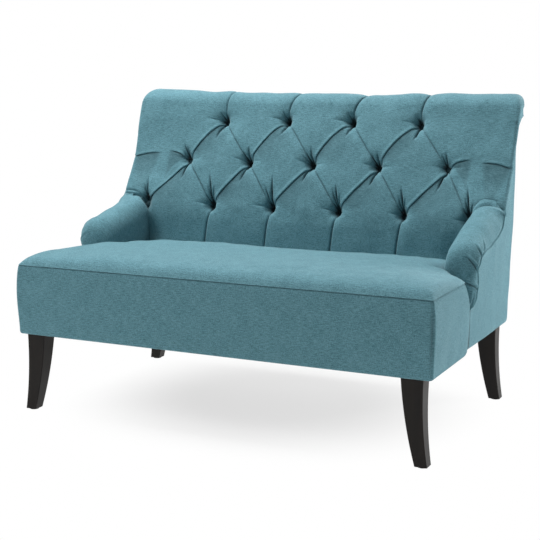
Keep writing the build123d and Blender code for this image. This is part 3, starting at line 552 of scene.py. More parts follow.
def side_pleats(field, way):
    """The pleat from the last button of the middle row to the side edge, in two arcs."""
    x0, s0, _ = MIDDLE_ROW[0] if way < 0 else MIDDLE_ROW[-1]
    x0 = abs(x0)
    inner = strand(x0, s0, (9, 4), (24, 20), (44, 24), (72, 23))
    outer = strand(x0, s0, (88, 12), (122, 23), (152, 15), (600 - x0, -1))
    for line, depth, ends in ((inner, 7.0, (0.0, 0.55)), (outer, 6.5, (0.4, 0.0))):
        line = line * (way, 1)
        if way < 0:
            line, ends = line[::-1], ends[::-1]
        field.fold(line, depth, 1.0, 3.0, broad=1.6, ends=ends, shade=0.50, shade_width=75.0)


def wrinkles(field, local):
    """Wrinkles drawn towards every button, broad and shallow where they run across."""
    for row, rays in zip(ROWS, (TOP_RAYS, MIDDLE_RAYS, BOTTOM_RAYS)):
        for x0, s0, _ in row:
            for bearing, length, depth in rays:
                turn = math.radians(bearing + local.uniform(-5, 5))
                ray = np.array((math.cos(turn), math.sin(turn)))
                start = (x0, s0) + 8 * ray
                end = (x0, s0) + length * local.uniform(0.85, 1.2) * ray
                side = np.array((-ray[1], ray[0])) * local.uniform(-3, 3)
                turns = (start * a + end * (1 - a) + side for a in (0.6, 0.3))
                line = bezier(start, *turns, end, 16)
                if abs(ray[0]) > 0.8:
                    field.crease(line, 0.8 * depth, 3.0, 0.6 * depth, 10.0, ends=(0.0, 0.95))
                else:
                    field.crease(line, 2.0 * depth, 1.9, 0.35 * depth, 8.0, ends=(0.0, 0.7))


def margin_wrinkles(field):
    """Wrinkles in the back's side margins, just above the arms."""
    for rise, depth in ((8, 8.0), (17, 6.5)):
        line = strand(506, -137 + rise, (0, 0), (19, 21), (44, 27), (72, 17), count=24)
        field.crease(line, depth, 2.4, 0.8, 7.0, ends=(0.3, 0.5))
    line = bezier((-592, -118), (-570, -114), (-550, -116), (-528, -126), 24)
    field.crease(line, 4.0, 2.2, 0.8, 7.0, ends=(0.1, 0.5))
    # Painted shade in the hollow of the margin above the left arm.
    field.shade += 0.4 * bell(field.x - 545, 48) * bell(field.s + 116, 20)


def button_field(x, s):
    """The buttoned face: hollows, folds, creases and wrinkles."""
    field = Field(x, s)
    local = np.random.default_rng(7)
    diagonals(field, local)
    uprights(field)
    for way in (-1, 1):
        side_pleats(field, way)
    for x0, s0, level in BUTTONS:
        wide = 1.6 if abs(x0) > BESIDE_ARM else 1.0
        field.hollow(x0, s0, base_level(x0, s0) - level, wide)
    wrinkles(field, local)
    margin_wrinkles(field)
    field.level += 0.6 * waves(x, s, 120.0, 3) + 0.2 * waves(x, s, 38.0, 4)
    swell, sag = 4.0 * bell(x + 309, 45), 5.0 * bell(x - 170, 45)
    field.level += smooth(120, 200, s) * (swell - sag)
    for x0, s0, level in BUTTONS:
        field.seat_button(x0, s0, level)
        # Painted shade round the pits of the buttons beside the arms.
        if abs(x0) > BESIDE_ARM:
            field.shade += bell(np.hypot(x - x0, s - s0), 17.0)
    return field


def back_place(x, s, level):
    """Points of the back; beyond the slope, s follows the roll."""
    angle = RAKE + np.maximum(s - ROLL_S, 0) / ROLL_R
    radius = ROLL_R + level - CROWN
    rolled = s > ROLL_S
    y = np.where(rolled, ROLL_Y - radius * np.cos(angle), ROW_Y + s * SIN - level * COS)
    z = np.where(rolled, ROLL_Z + radius * np.sin(angle), ROW_Z + s * COS + level * SIN)
    return points_of(x, y, z)


def crease_s(x):
    """Where the back's side margin meets the arm, up the slope."""
    share = np.clip((np.abs(x) - ARM_IN) / (HALF_W - ARM_IN), 0, 1)
    left = -141 + 26 * np.sin(np.pi * share * 0.8) - 3 * share
    right = -142 + 14 * smooth(0.0, 0.5, share)
    return np.where(x > 0, left, right)


def half_width(s, way):
    """Half the back's width: a little wider at the top right, drawn in round the roll."""
    flare = 6.0 * smooth(0, 150, s) if way < 0 else 0.0
    turn = np.degrees(np.maximum(s - ROLL_S, 0) / ROLL_R)
    return HALF_W + flare - soft_line(turn, (0, 40, 80, 130, 200), (0, 2, 8, 21, 29))


BACK_FOOT_S = -286
ROLL_END_S = ROLL_S + ROLL_R * 3.80
ROLL_TAIL_S = ROLL_S + ROLL_R * 2.75
# The roll's end cap closes at this level, and its tail is drawn in by as much
ROLL_DRAW = 26
# Columns are even as far as the first, and then fitted to the back's width as far as the second
EVEN_X, BRIM_X = 440.0, 581.0
# Half the back's width where it goes down behind the arms
BEHIND_ARM_X = 519


def back_grid(rows, edge):
    """Places across and up the slope, fitted to the back's width at each row."""
    x, s = np.meshgrid(np.linspace(-BRIM_X, BRIM_X, 776), rows)
    outer = np.maximum(np.abs(x) - EVEN_X, 0)
    for way in (-1, 1):
        reach = half_width(rows, way) - edge
        reach = reach + (BEHIND_ARM_X - reach) * smooth(-125, -144, rows)
        share = ((reach - EVEN_X) / (BRIM_X - EVEN_X))[:, None]
        fitted = way * (np.minimum(np.abs(x), EVEN_X) + outer * share)
        x = np.where(x * way > 0, fitted, x)
    return x, s


def side_wrap(way, rim_x, s, rim_level, edge):
    """The cover round a side edge, back along the side and in to the roll's cap or the frame."""
    rings = []
    for turn in np.linspace(0, math.pi / 2, 7)[1:]:
        rings.append((rim_x + way * edge * math.sin(turn), rim_level - edge * (1 - math.cos(turn))))
    x, level = rings[-1]
    gather = 1.5 * np.sin(s / 4.6) * smooth(ROLL_S + 20, ROLL_S + 90, s)
    depth = 4.0 + level * smooth(ROLL_S - 70, ROLL_S, s)
    for share in np.linspace(0, 1, 13)[1:]:
        draw = way * (3.0 * share**2 + gather * math.sin(math.pi * share))
        rings.append((x - draw, level - depth * share))
    x, level = rings[-1]
    on_roll = smooth(ROLL_S - 60, ROLL_S + 10, s)
    inward = x - way * (HALF_BODY + 1)
    for share in np.linspace(0, 1, 8)[1:]:
        cap_x, cap_level = x - way * 2.0 * share, level + (-ROLL_DRAW - level) * share
        back_x, back_level = x - inward * min(1.0, share * 1.15), level - 7.0 * share
        ring_x = cap_x * on_roll + back_x * (1 - on_roll)
        rings.append((ring_x, cap_level * on_roll + back_level * (1 - on_roll)))
    rings.append((way * (HALF_BODY - 9), rings[-1][1]))
    block = np.stack([back_place(ring_x, s, ring_level) for ring_x, ring_level in rings], 1)
    return block[:, ::-1] if way < 0 else block


def make_back():
    """The inside back's cover, from under the seat, over the roll and round its side edges."""
    rows = join([np.arange(BACK_FOOT_S, ROLL_S, 1.5), np.linspace(ROLL_S, ROLL_END_S, 140)])
    edge = 9.0 + 15.0 * smooth(ROLL_S - 12, ROLL_S + 55, rows)
    x, s = back_grid(rows, edge)
    field = button_field(x, s)
    seam = crease_s(x)
    sewn = 6 * np.exp(-np.maximum(s - seam, 0) / 5.0) + 34 * smooth(seam + 1, seam - 13, s)
    level = field.level - smooth(502, 512, np.abs(x)) * sewn
    level = level - ROLL_DRAW * smooth(ROLL_TAIL_S, ROLL_END_S, s)
    shift_s = np.where(s < ROLL_S - 8, field.shift_s, 0)
    front = back_place(x + field.shift_x, s + shift_s, level)
    right, left = (side_wrap(way, x[:, k], rows, level[:, k], edge) for way, k in ((-1, 0), (1, -1)))
    points = join([right, front, left], 1)
    # Painted shade: darker in the narrow creases and pits, more softly in the broad hollows, plus the
    # field's painted shade on the slope below the roll.
    painted_shade = sunken(level, 6, 0.7, 7.0) + 0.55 * sunken(level, 15, 5.0, 14.0)
    painted_shade = np.minimum(painted_shade + field.shade * smooth(ROLL_S, ROLL_S - 60, s), 1)
    plain = np.zeros(right.shape[:2])
    crease = join([plain, painted_shade, plain], 1)
    return add_grid("inside_back_cover", points, "buttoned_back_pad", "back_foam", crease=crease)


# A button's profile from its middle to its underside: radius and lift
BUTTON_RINGS = (
    (0.0, 5.2), (2.5, 5.1), (5.0, 4.6), (7.2, 3.6), (8.6, 2.0),
    (9.4, 0.2), (9.5, -1.6), (8.6, -3.0), (6.0, -3.4),
)
BUTTON_SIDES = 32
BUTTON_LIFT = 2.2


def make_buttons():
    """Cloth-covered buttons, domed, with the cloth drawn in round the rim."""
    radius, lift = np.array(BUTTON_RINGS).T[:, :, None]
    k = np.arange(BUTTON_SIDES)
    turn = 2 * np.pi * k / BUTTON_SIDES
    past_dome = np.maximum(0, np.arange(len(BUTTON_RINGS)) - 3)[:, None] / 4
    ring = np.arange(len(BUTTON_RINGS) - 1)[:, None] * BUTTON_SIDES
    a, b = ring + k, ring + (k + 1) % BUTTON_SIDES
    quads = np.stack([a, a + BUTTON_SIDES, b + BUTTON_SIDES, b], -1).reshape(-1, 4)
    points, faces, cloth = [], [], []
    for number, (x0, s0, level) in enumerate(BUTTONS):
        r = radius + 0.22 * np.sin(turn * 9 + x0) * past_dome
        x, s = x0 + r * np.cos(turn), s0 + r * np.sin(turn)
        points.append(back_place(x, s, level + BUTTON_LIFT + lift))
        cloth.append(np.stack([x, s], -1) / 1000)
        faces.append(quads + number * radius.size * BUTTON_SIDES)
    # Painted shade: the buttons are darkened as if they sat in the shade of their pits.
    shade = np.full((len(BUTTONS), radius.size, BUTTON_SIDES), 0.85)
    return add_mesh("cloth_buttons", points, join(faces), cloth, ["back_buttons"], shade)


# Arms: padded strips that leave the back at a crease, sweep forward and turn down at the nose

# The crest of each arm from the back to the nose, and of the nose
CREST_Y = (190, 168, 150, 125, 89, 31, 4, -38, -64)
CREST_Z = {
    1: (590, 570, 557, 547, 536, 519, 508, 493, 486),
    -1: (566, 545, 533, 528, 519, 505, 498, 491, 488),
}
NOSE_CREST = [(-84, 474), (-95, 453), (-98, 425), (-97, 390), (-93, 350), (-87, 308)]
NOSE_TOP, NOSE_HEIGHT = 486, 178

# Shares of the way down the nose, with the depth of the lip and the place of the outer edge
NOSE = (0, 0.07, 0.185, 0.26, 0.37, 0.483, 0.584, 0.78, 0.916, 0.955, 1)
NOSE_LIP = (30, 28, 20, 16.5, 13, 22, 30, 20, 18, 12.5, 8)
NOSE_OUTSIDE = {
    1: (591, 591, 590.5, 590, 586, 584, 582.5, 581, 573, 567, 561),
    -1: (588, 588.5, 588, 587, 586.5, 586, 585, 581, 573, 567, 561),
}
# Shares of the way forward along the top, with the depth of the lip
TOP_LIP = {
    1: ((0, 0.075, 0.104, 0.196, 0.36, 0.617, 0.87, 1), (6, 13, 26, 45, 49, 43, 30, 30)),
    -1: ((0, 0.08, 0.2, 0.36, 1), (1, 5, 19, 28, 30)),
}
# Shares of the way down the nose, with how far back its inner edge lies
NOSE_EDGE = (0, 0.07, 0.185, 0.34, 0.5, 1)
NOSE_EDGE_BACK = (15, 29, 27, 20, 18, 16)
EDGE_FALL = {1: 40.0, -1: 56.0}
WALL_X = {1: ARM_IN, -1: ARM_IN - 3}
WALL_FOOT_Z = 358

# Wrinkles on the arm's nose: where they reach the lip along the arm, slant, inner end and depth
NOSE_WRINKLES = (
    (0.56, 110, 0.72, 2.0), (0.663, 114, 0.66, 4.0), (0.767, 92, 0.54, 5.0), (0.87, 57, 0.55, 4.0)
)
WRINKLE_SIZE = {1: 1.0, -1: 0.3}
ARM_SEED = {1: 21, -1: 22}
# Depth and width of the dip that the nearest button draws in the arm
BUTTON_DIP = {1: (24.0, 27.0), -1: (50.0, 14.0)}


def arm_path(way):
    """The arm's crest in the side view: points, the way into the arm, and the run along it."""
    dense = np.array([*zip(CREST_Y, CREST_Z[way]), *NOSE_CREST], float)
    for _ in range(4):
        near = dense[:-1] * 0.75 + dense[1:] * 0.25
        far = dense[:-1] * 0.25 + dense[1:] * 0.75
        dense = join([dense[:1], np.stack([near, far], 1).reshape(-1, 2), dense[-1:]])
    run = join([[0], np.cumsum(np.linalg.norm(np.diff(dense, axis=0), axis=1))])
    even = np.linspace(0, run[-1], 420)
    path = np.stack([np.interp(even, run, dense[:, 0]), np.interp(even, run, dense[:, 1])], -1)
    tangent = np.gradient(path, axis=0)
    tangent /= np.linalg.norm(tangent, axis=1)[:, None]
    inward = np.stack([-tangent[:, 1], tangent[:, 0]], -1)
    return path, inward, even


def arm_lines(way):
    """What changes along an arm from the back to the nose's foot, as columns."""
    path, inward, run = arm_path(way)
    y, z = path[:, :1], path[:, 1:]
    on_nose = (y < -20) & (z < NOSE_TOP)
    nose = np.where(on_nose, np.clip((NOSE_TOP - z) / NOSE_HEIGHT, 0, 1), 0)
    forward = np.clip((150 - y) / 240, 0, 1)
    lip = np.where(on_nose, soft_line(nose, NOSE, NOSE_LIP), soft_line(forward, *TOP_LIP[way]))
    wall = WALL_X[way]
    inside = soft_line(nose, (0, 0.4, 1), (wall, wall, wall + 14))
    outside = soft_line(nose, NOSE, NOSE_OUTSIDE[way])
    if way > 0:
        outside = outside - 24 * smooth(126, 156, y)
    crest = inside + (outside - inside) * soft_line(forward, (0, 0.5, 1), (0.46, 0.52, 0.54))
    fall = EDGE_FALL[way]
    nose_drop = soft_line(nose, NOSE_EDGE, (fall, 0.8 * fall, 0.45 * fall, 7, 0, 0))
    top_drop = soft_line(forward, (0, 0.2, 1), (0.75 * fall, fall, fall))
    top_back = soft_line(y, (-60, -38, 4, 200), (15, 5, 0, 0))
    edge_back = np.where(on_nose, soft_line(nose, NOSE_EDGE, NOSE_EDGE_BACK), top_back)
    foot_y = np.where(on_nose, soft_line(nose, (0, 0.34, 1), (-45, -66, -70)), y + edge_back)
    return SimpleNamespace(
        y=y, z=z, in_y=inward[:, :1], in_z=inward[:, 1:], run=run[:, None], nose=nose, lip=lip,
        inside=inside, outside=outside, crest=crest, edge_back=edge_back,
        edge_drop=np.where(on_nose, nose_drop, top_drop), foot_y=foot_y,
    )


def arm_sections(arm):
    """An arm's points, their shares across its rounding, and how they face up and aside."""
    edge_y, edge_z = arm.y + arm.edge_back, arm.z - arm.edge_drop
    foot_z = np.minimum(WALL_FOOT_Z, edge_z - 5)
    down = np.linspace(1, 0, 24)[:-1]
    wall = points_of(arm.inside, edge_y + (arm.foot_y - edge_y) * down, edge_z + (foot_z - edge_z) * down)
    turn = np.linspace(-math.pi / 2, math.pi / 2, 73)
    sine, drop = np.sin(turn), 1 - np.cos(turn) ** 0.92
    inner = sine < 0
    half = np.where(inner, arm.crest - arm.inside, arm.outside - arm.crest)
    rounding = points_of(
        arm.crest + half * np.sign(sine) * np.abs(sine) ** 0.94,
        arm.y + drop * np.where(inner, arm.edge_back, arm.in_y * arm.lip),
        arm.z + drop * np.where(inner, -arm.edge_drop, arm.in_z * arm.lip),
    )
    bead = np.linspace(0, math.pi, 9)[1:]
    out = join([3.0 * np.sin(bead), [-5.0, -20.0]])
    below = arm.lip + join([2.8 * (1 - np.cos(bead)), [7.0, 10.0]])
    welt = points_of(arm.outside + out, arm.y + arm.in_y * below, arm.z + arm.in_z * below)
    points = join([wall, rounding, welt], 1)
    share = (np.arange(points.shape[1]) - len(down)) / (len(turn) - 1)
    flanks = (len(down), len(out))
    return points, share, np.pad(np.cos(turn), flanks), np.pad(sine, flanks)


def arm_relief(way, arm, points, share):
    """An arm's unevenness, its crease at the back, and the nose's wrinkles and gathers."""
    along = arm.run + 0 * share
    padded = smooth(0.0, 0.15, share) * smooth(1.0, 0.94, share)
    relief = 0.6 * padded * waves(along, share * 130, 90.0, ARM_SEED[way])
    x = way * points[:, :, 0]
    meet = back_place(x, crease_s(x), 44.0) - points
    lead = meet[:, :, 1] * 0.83 + meet[:, :, 2] * 0.55
    relief -= 6.0 * bell(lead, 6.0) * smooth(0.0, 0.1, share)
    for end, slant, start, size in NOSE_WRINKLES:
        gap = along - end * arm.run[-1] - (share - 0.95) * slant
        mask = smooth(start, start + 0.14, share) * smooth(1.0, 0.97, share)
        relief += WRINKLE_SIZE[way] * size * mask * (0.7 * bell(gap + 6, 4.5) - bell(gap, 2.6))
    gathers = smooth(0.62, 0.95, arm.nose) * smooth(0.45, 0.7, share) * smooth(1.0, 0.96, share)
    return relief + gathers * 1.8 * np.sin(share * 40 + 2.0)


def gap_to_button(way, points):
    """Distance from the nearest button of the back; on the right, as seen from above."""
    x0, s0, level = BOTTOM_ROW[0] if way < 0 else BOTTOM_ROW[-1]
    gap = points - back_place(abs(x0), s0, level - 6.0)
    if way < 0:
        gap[:, :, 2] = 0.0
    return np.linalg.norm(gap, axis=2)


def make_arm(way, name, node):
    """One arm pad."""
    arm = arm_lines(way)
    points, share, upward, aside = arm_sections(arm)
    relief = arm_relief(way, arm, points, share)
    near = gap_to_button(way, points)
    dip, wide = BUTTON_DIP[way]
    points[:, :, 2] -= dip * bell(near, wide)
    points[:, :, 1] -= relief * upward * arm.in_y
    points[:, :, 2] -= relief * upward * arm.in_z
    points[:, :, 0] += relief * aside * smooth(0.5, 0.6, share)
    points[:, :, 0] *= way
    # Painted shade in the arm's wrinkles and crease, and round the nearest button.
    painted_shade = sunken(relief, 5, 0.5, 5.0) * smooth(0.0, 0.2, share) * smooth(1.01, 0.99, share)
    painted_shade = np.minimum(painted_shade + 0.9 * bell(near, 15.0), 1)
    return add_grid(name, points, node, flip=way < 0, crease=painted_shade)


# Seat

SEAT_BACK = -112.0
SEAT_CORNER = 7.0
REAR_CORNER = 10.0
SEAT_FALL_Z = 310.0
SEAT_FALL = 34.0

# Rows of the seat top at its front seam: distance from the front
SEAM_ROWS = (6.0, 6.6, 8, 10, 13, 17, 22)
# Columns of the seat top at its side seams: share of the half width outside them
SEAM_COLUMNS = (0.06, 0.05, 0.04, 0.032, 0.025, 0.019, 0.014, 0.010, 0.006, 0.003, 0.001, 0.0)
# Height of the seat's crown by the distance from its front seam
CROWN_RUN = (0, 10, 26, 60, 110, 200, 310, 450, 575)
CROWN_RISE = (0, 15, 25, 32, 36, 38, 37, 20, 5)


def seat_back(z):
    """Where the seat's side ends at a height; its rear top corner is rounded off."""
    return SEAT_BACK - SEAT_FALL * max(0.0, (z - SEAT_FALL_Z) / (SEAM_Z - SEAT_FALL_Z)) ** 2


def seat_edge(y):
    """Height of the seat's side edge; it falls round the rear top corner."""
    share = np.clip((SEAT_BACK - y) / SEAT_FALL, 0, 1)
    return SEAT_FALL_Z + (SEAM_Z - SEAT_FALL_Z) * math.sqrt(share)


def rear_turn(back, tuck):
    """The rear end of the seat's side, turned in, or run on behind the panel by the tuck, 0 to 1."""
    u = np.linspace(0, 1, 13)
    turn = u * math.pi / 2
    x = (1 - tuck) * REAR_CORNER * (np.cos(turn) - 1) - tuck * 27 * u**2
    y = back + (1 - tuck) * REAR_CORNER * (np.sin(turn) - 1) + tuck * (100 * u - 38)
    angle = (1 - tuck) * turn + tuck * np.arctan(0.54 * u)
    x = join([x, np.linspace(x[-1], -60, 8)[1:]])
    y = np.pad(y, (0, 7), mode="edge")
    angle = join([angle, np.full(7, math.pi / 2)])
    return np.column_stack([HALF_SEAT + x, y]), np.column_stack([np.cos(angle), np.sin(angle)])


def outline(back, tuck):
    """The seat's outline from rear right round the front to rear left: points and ways out."""
    inner, corner_y = HALF_SEAT - SEAT_CORNER, SEAT_FRONT + SEAT_CORNER
    rear, rear_outs = rear_turn(back, tuck)
    turn = np.radians(np.linspace(-90, 0, 11))
    corner_outs = np.column_stack([np.cos(turn), np.sin(turn)])
    corner = (inner, corner_y) + SEAT_CORNER * corner_outs
    front = np.linspace((0, SEAT_FRONT), (inner, SEAT_FRONT), 97)[:-1]
    side = np.linspace((HALF_SEAT, corner_y), (HALF_SEAT, rear[0, 1]), 51)[1:-1]
    points = join([front, corner, side, rear])
    outs = join([0 * front + (0, -1), corner_outs, 0 * side + (1, 0), rear_outs])
    mirror = (-1, 1)
    return join([points[:0:-1] * mirror, points]), join([outs[:0:-1] * mirror, outs])


def border_fullness(z, points):
    """How far the border stands out at a height: full, drawn in at its seams and at the hem."""
    share = (SEAM_Z - z) / (SEAM_Z - BOTTOM_Z)
    full = 6.0 * math.sin(math.pi * min(1, max(0, share)) ** 0.8)
    seam = -2.6 * bell(SEAM_Z - z, 2.4, 1.2)
    hem = -5.0 * (1 - math.sqrt(max(0.0, 1 - max(0, (BOTTOM_Z + 7 - z) / 7) ** 2)))
    cut = SEAT_CORNER * 0.29
    gap = np.hypot(np.abs(points[:, 0]) - HALF_SEAT + cut, points[:, 1] - SEAT_FRONT - cut)
    return full + seam + hem + 2.0 * share - 2.2 * bell(gap, 1.7)


def make_border():
    """The band round the seat's front and sides, with seams at its corners."""
    heights = join([
        np.linspace(SEAM_Z - 0.2, SEAM_Z - 8, 8),
        np.linspace(SEAM_Z - 12, BOTTOM_Z + 14, 34),
        np.linspace(BOTTOM_Z + 10, BOTTOM_Z, 6),
    ])
    rows = []
    for z in heights:
        points, outs = outline(seat_back(z), smooth(335, 300, z))
        fullness = border_fullness(z, points)[:, None]
        rows.append(np.column_stack([points + outs * fullness, np.full(len(points), z)]))
    points, outs = outline(seat_back(BOTTOM_Z), 1.0)
    rows.append(np.column_stack([points - outs * 24, np.full(len(points), BOTTOM_Z - 0.2)]))
    grid = np.array(rows)
    x, y, z = grid.transpose(2, 0, 1)
    # Painted shade in the front corner seams, along the top seam at the front, and on the border's rear
    # end where it turns in behind the panel.
    gap = np.hypot(np.abs(x) - HALF_SEAT - 2, y - FRONT - 2)
    seam_shade = bell(SEAM_Z - z, 1.6) * smooth(-230, -330, y)
    crease = 0.55 * bell(gap, 4.0) + 0.6 * seam_shade
    crease = np.minimum(crease + 0.7 * smooth(0.6, 0.95, outs[:, 1]), 1)
    uneven = 0.6 * waves(np.arange(grid.shape[1]) * 6.0, z, 150.0, 31)
    uneven *= smooth(SEAM_Z, SEAM_Z - 25, z) * smooth(BOTTOM_Z, BOTTOM_Z + 25, z)
    grid[:, :, :2] += outs * uneven[:, :, None]
    return add_grid("seat_border_cloth", grid, "seat_border", "seat_rail_pad", crease=crease)


def seat_row(y, across):
    """One row of the seat top: crowned, rounded off at its sides and fallen at its rear corners."""
    run = y - SEAT_FRONT
    half = HALF_SEAT - 52 * smooth(SEAT_BACK - 4, SEAT_BACK + 14, y)
    if run < SEAT_CORNER:
        half -= SEAT_CORNER - math.sqrt(SEAT_CORNER**2 - (SEAT_CORNER - run) ** 2)
    x = across * half
    out = half - np.abs(x)
    fallen = soft_line(run, (0, 60, 150, 300, 400, 575), (0.10, 0.12, 0.36, 0.9, 0.6, 0.4))
    power = soft_line(run, (0, 150, 300), (3.2, 5.0, 9.0))
    rounded = (1 - bell(out, 10.0, 0.9)) * (1 - fallen * (np.abs(x) / half) ** power)
    turned = 18.0 + 14.0 * smooth(-200, -130, y)
    drop = (SEAM_Z - seat_edge(y)) * bell(out, turned)
    return points_of(x, y, SEAM_Z + soft_line(run, CROWN_RUN, CROWN_RISE) * rounded - drop)


def make_seat_top():
    """The crowned seat top, seamed to the border and tucked in at the back."""
    ys = FRONT + join([SEAM_ROWS, np.arange(28, 575, 4.0)])
    side = join([np.linspace(0, 0.93, 96), 1 - np.array(SEAM_COLUMNS)])
    across = join([-side[:0:-1], side])
    grid = np.array([seat_row(y, across) for y in ys])
    x, y = grid[:, :, 0], grid[:, :, 1]
    fade = smooth(0, 40, HALF_SEAT - np.abs(x)) * smooth(SEAT_FRONT, FRONT + 40, y)
    grid[:, :, 2] += fade * (1.1 * waves(x, y, 260.0, 51) + 0.35 * waves(x, y, 70.0, 52))
    return add_grid("seat_top_cloth", grid, "seat_top_cover", "seat_foam")


# Outside panels and dust cover

# The panel's front edge, by height
PANEL_FRONT_Z = (210, 300, 316, 330, 347, 382, 400, 424)
PANEL_FRONT_Y = (-81, -81, -77, -73, -74, -67, -75, -83)
# The panel's top edge: under the arm's lip, inside the back's edge by an inset, and under the roll
BACK_EDGE_S = np.array((-126, -93, -48, 0, 39, 74, 107, 137), float)
BACK_EDGE_INSET = np.array((4, 7, 8, 8, 8, 8, 8, 8))
BACK_EDGE_LEVEL = soft_line(BACK_EDGE_S, EDGE_S, EDGE_LEVELS) - BACK_EDGE_INSET
_, BACK_EDGE_Y, BACK_EDGE_Z = back_place(0.0, BACK_EDGE_S, BACK_EDGE_LEVEL).T
LIP_Y = join([(-81, -60, 0, 64, 103, 126), BACK_EDGE_Y, (306, 400)])
LIP_Z = join([(424, 449, 460, 474, 491, 514), BACK_EDGE_Z, (795, 800)])
# Heights at which the panel's rear corner changes
CORNER_Z = (210, 450, 700)


def panel_top(flat):
    """Where a line up the panel ends, Y and Z; behind the arm it leans with the rear edge."""
    start_y, lean_from_y, rear_inset = -83, 60, 2
    reach = LIP_Y[0] + (rear_y(420) - LIP_Y[0]) * flat
    leaning = reach > lean_from_y
    for _ in range(8):
        top = soft_line(reach, LIP_Y, LIP_Z)
        if leaning:
            reach = start_y + (rear_y(top) - rear_inset - start_y) * flat
    return reach, top


def panel_line(t, up):
    """A line up the panel; t is 0 to 1 over its flat, to 2 round the rear corner and to 3 turned in."""
    flat = min(t, 1.0)
    turn = min(max(t - 1, 0), 1) * math.pi / 2
    turned_in = max(t - 2, 0)
    reach, top = panel_top(flat)
    z = BOTTOM_Z - 0.5 + (top - BOTTOM_Z) * up
    corner = soft_line(z, CORNER_Z, (4, 5, 9))
    front = soft_line(z, PANEL_FRONT_Z, PANEL_FRONT_Y)
    rear = rear_y(z) + soft_line(z, CORNER_Z, (8, 7, 4))
    y = front + (rear - corner - front) * flat + corner * math.sin(turn) - turned_in
    beside_seat = soft_line(z, (300, 316, 347, 420), (0, 7, 20, 25)) * np.exp(-(y - front) / 26.0)
    gap = (top - z) * soft_line(reach, (100, 165), (1.0, 0.42))
    under_lip = 27.0 * np.exp(-gap / 24.0) * smooth(345, 300, reach)
    puff = 3.5 * math.sin(math.pi * min(1.0, 0.25 + 0.75 * flat)) ** 0.7 * smooth(760, 600, z)
    spread = soft_line(z, (210, 450, 600, 700), (4, 5, 4, 2)) * flat**2
    hem = -3.0 * smooth(BOTTOM_Z + 7, BOTTOM_Z, z)
    x = HALF_BODY + 1 + np.maximum(beside_seat, under_lip) + puff + spread + hem
    return points_of(x - corner * (1 - math.cos(turn)) - 14 * turned_in, y, z)


def make_side_panel(way, name, node):
    """The flat cloth under the arm and beside the back, turned round the rear corner."""
    flat = np.linspace(0, 1, 110) ** 1.15
    along = join([flat, 1 + np.linspace(0, 1, 8)[1:], 2 + np.linspace(0, 1, 4)[1:]])
    up = join([[0.0, 0.008], np.linspace(0.02, 1, 120)])
    grid = np.stack([panel_line(t, up) for t in along], 1)
    grid[:, :, 0] += 0.4 * waves(grid[:, :, 1], grid[:, :, 2], 130.0, 61)
    tucked = np.stack([grid[-1] - (14.0, 0.0, 0.0), grid[-1] - (32.0, 0.0, 0.0)])
    if way > 0:
        behind_arm = smooth(100, 130, grid[-1, :, 1]) * smooth(215, 180, grid[-1, :, 1])
        tucked[:, :, 2] += np.array((8.0, 12.0))[:, None] * behind_arm
    grid = join([grid, tucked])
    x, y, z = grid.transpose(2, 0, 1)
    cloth = np.stack([y - x, z], -1) / 1000
    # Painted shade: a dark strip on the panel just behind the seat's side, and on the edge turned in at
    # the rear corner.
    crease = 0.85 * smooth(-46, -58, y) * smooth(330, 312, z) + 0.6 * np.maximum(along - 2, 0)
    return add_grid(name, grid * (way, 1, 1), node, flip=way < 0, cloth=cloth, crease=crease)


def make_outside_back():
    """The flat cloth across the rear, from under the roll down to the bottom edge."""
    top_z = 790
    half = HALF_BODY - 3
    zs = join([[BOTTOM_Z - 0.5], np.linspace(BOTTOM_Z + 4, top_z, 92)])
    x, z = np.meshgrid(np.linspace(-half, half, 170), zs)
    side = smooth(half, half - 11, np.abs(x))
    y = rear_y(z) + 1.5 + 4.5 * side - 3.0 * smooth(BOTTOM_Z + 7, BOTTOM_Z, z)
    y += 1.8 * np.cos(np.pi * x / (2 * HALF_BODY)) * np.sin(np.pi * np.clip((z - BOTTOM_Z) / 550, 0, 1))
    y += 0.5 * waves(x, z, 170.0, 71)
    return add_grid("outside_back_cloth", points_of(x, y, z), "outside_back_panel", flip=True)


def make_dust_cover():
    """The lining under the seat, stapled round its edge and sagging a little between."""
    half, front, rear = 551, -371, 308
    x, y = np.meshgrid(np.linspace(-half, half, 120), np.linspace(front, rear, 80))
    edge = np.minimum(half - np.abs(x), np.minimum(y - front, rear - y))
    sag = 3.0 * smooth(0, 160, edge)
    pucker = 0.8 * np.sin((x + y) / 9.5) * np.exp(-edge / 14)
    z = BOTTOM_Z + 0.6 - sag + pucker
    return add_grid("dust_cover_cloth", points_of(x, y, z), "dust_cover", flip=True, slot="lining_cloth")


back = make_back()
make_buttons()
left_arm = make_arm(1, "left_arm_cloth", "left_arm_pad")
right_arm = make_arm(-1, "right_arm_cloth", "right_arm_pad")
border = make_border()
seat_top = make_seat_top()
make_side_panel(1, "left_outside_cloth", "left_outside_panel")
make_side_panel(-1, "right_outside_cloth", "right_outside_panel")
make_outside_back()
make_dust_cover()

for row in frame["record"]["subparts"]:
    node = frame["nodes"][row["node"]]
    node.data.materials.clear()
    node.data.materials.append(FINISHES[row["material_slot"]])

# Stage, light and camera


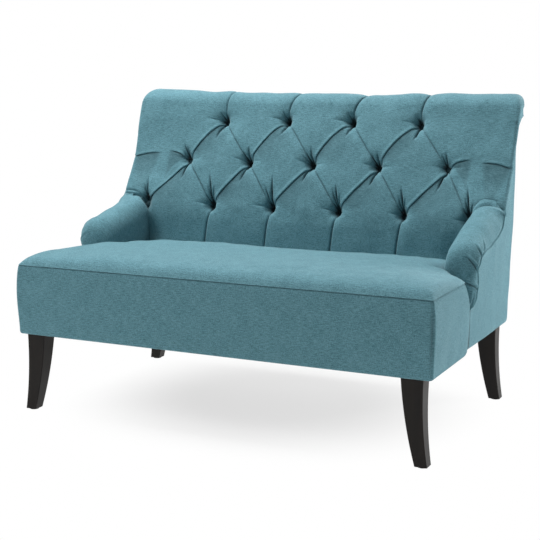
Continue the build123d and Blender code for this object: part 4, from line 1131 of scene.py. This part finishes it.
def pale_floor():
    """White floor that keeps the shadow near the settee and fades to plain white further out."""
    n = Nodes(bpy.data.materials.new("floor"))
    n.fill(n.shader, {"Base Color": (0.88, 0.88, 0.875, 1), "Roughness": 0.9, "Specular IOR Level": 0.1})
    paths = n.add("LightPath").outputs
    seen = n.math("MAXIMUM", paths["Is Camera Ray"], paths["Is Glossy Ray"])
    seen = n.math("MAXIMUM", seen, paths["Is Transmission Ray"])
    place = n.add("TexCoord").outputs["Object"]
    far = n.add("VectorMath", {0: place}, operation="LENGTH").outputs["Value"]
    fade = n.ramp(far, 0.20, 0.62, 0.67, 1.0, interpolation_type="SMOOTHSTEP")
    white = n.add("Emission", {"Color": (1, 1, 1, 1), "Strength": 1.0})
    inputs = {0: n.times(fade, seen), 1: n.shader.outputs[0], 2: white.outputs[0]}
    mix = n.add("MixShader", inputs)
    n.fill(n.tree.nodes["Material Output"], {"Surface": mix.outputs[0]})
    return n.owner


bpy.ops.mesh.primitive_circle_add(vertices=96, radius=40, fill_type="NGON")
floor = bpy.context.object
floor.name = "floor"
floor.data.materials.append(pale_floor())

studio = Nodes(bpy.data.worlds.new("studio"), "Background")
scene.world = studio.owner
seen = studio.add("LightPath").outputs["Is Camera Ray"]
studio.fill(studio.shader, {"Color": (1, 1, 1, 1), "Strength": studio.ramp(seen, 0.0, 1.0, 0.28, 1.0)})

# Soft lamps: place, the point they aim at, width, height and power
LAMPS = {
    "top_light": ((-0.80, 0.36, 3.6), (0.0, 0.1, 0.45), 2.2, 1.8, 165),
    "rear_side_light": ((2.5, 1.5, 0.75), (0.3, 0.0, 0.4), 1.3, 1.1, 55),
    "rear_light": ((-0.3, 3.0, 1.6), (0.0, 0.2, 0.5), 2.4, 1.4, 20),
    "left_fill": ((-2.0, -1.6, 2.1), (-0.2, 0.0, 0.5), 1.4, 1.4, 28),
}
for name, (place, aim, width, height, power) in LAMPS.items():
    data = bpy.data.lights.new(name, "AREA")
    data.shape = "RECTANGLE"
    data.size, data.size_y, data.energy = width, height, power
    lamp = bpy.data.objects.new(name, data)
    scene.collection.objects.link(lamp)
    lamp.location = place
    lamp.rotation_euler = (Vector(aim) - Vector(place)).to_track_quat("-Z", "Y").to_euler()

camera_data = bpy.data.cameras.new("camera")
camera_data.sensor_width = 36.0
camera_data.sensor_fit = "HORIZONTAL"
camera_data.lens = 76.83
camera = bpy.data.objects.new("camera", camera_data)
scene.collection.objects.link(camera)
azimuth, elevation = math.radians(25.82), math.radians(9.49)
camera.location = (1.343, -2.820, 0.886)
camera.rotation_euler = (math.pi / 2 - elevation, 0, azimuth)
bpy.context.scene.camera = camera
bpy.context.scene.view_settings.view_transform = "Standard"
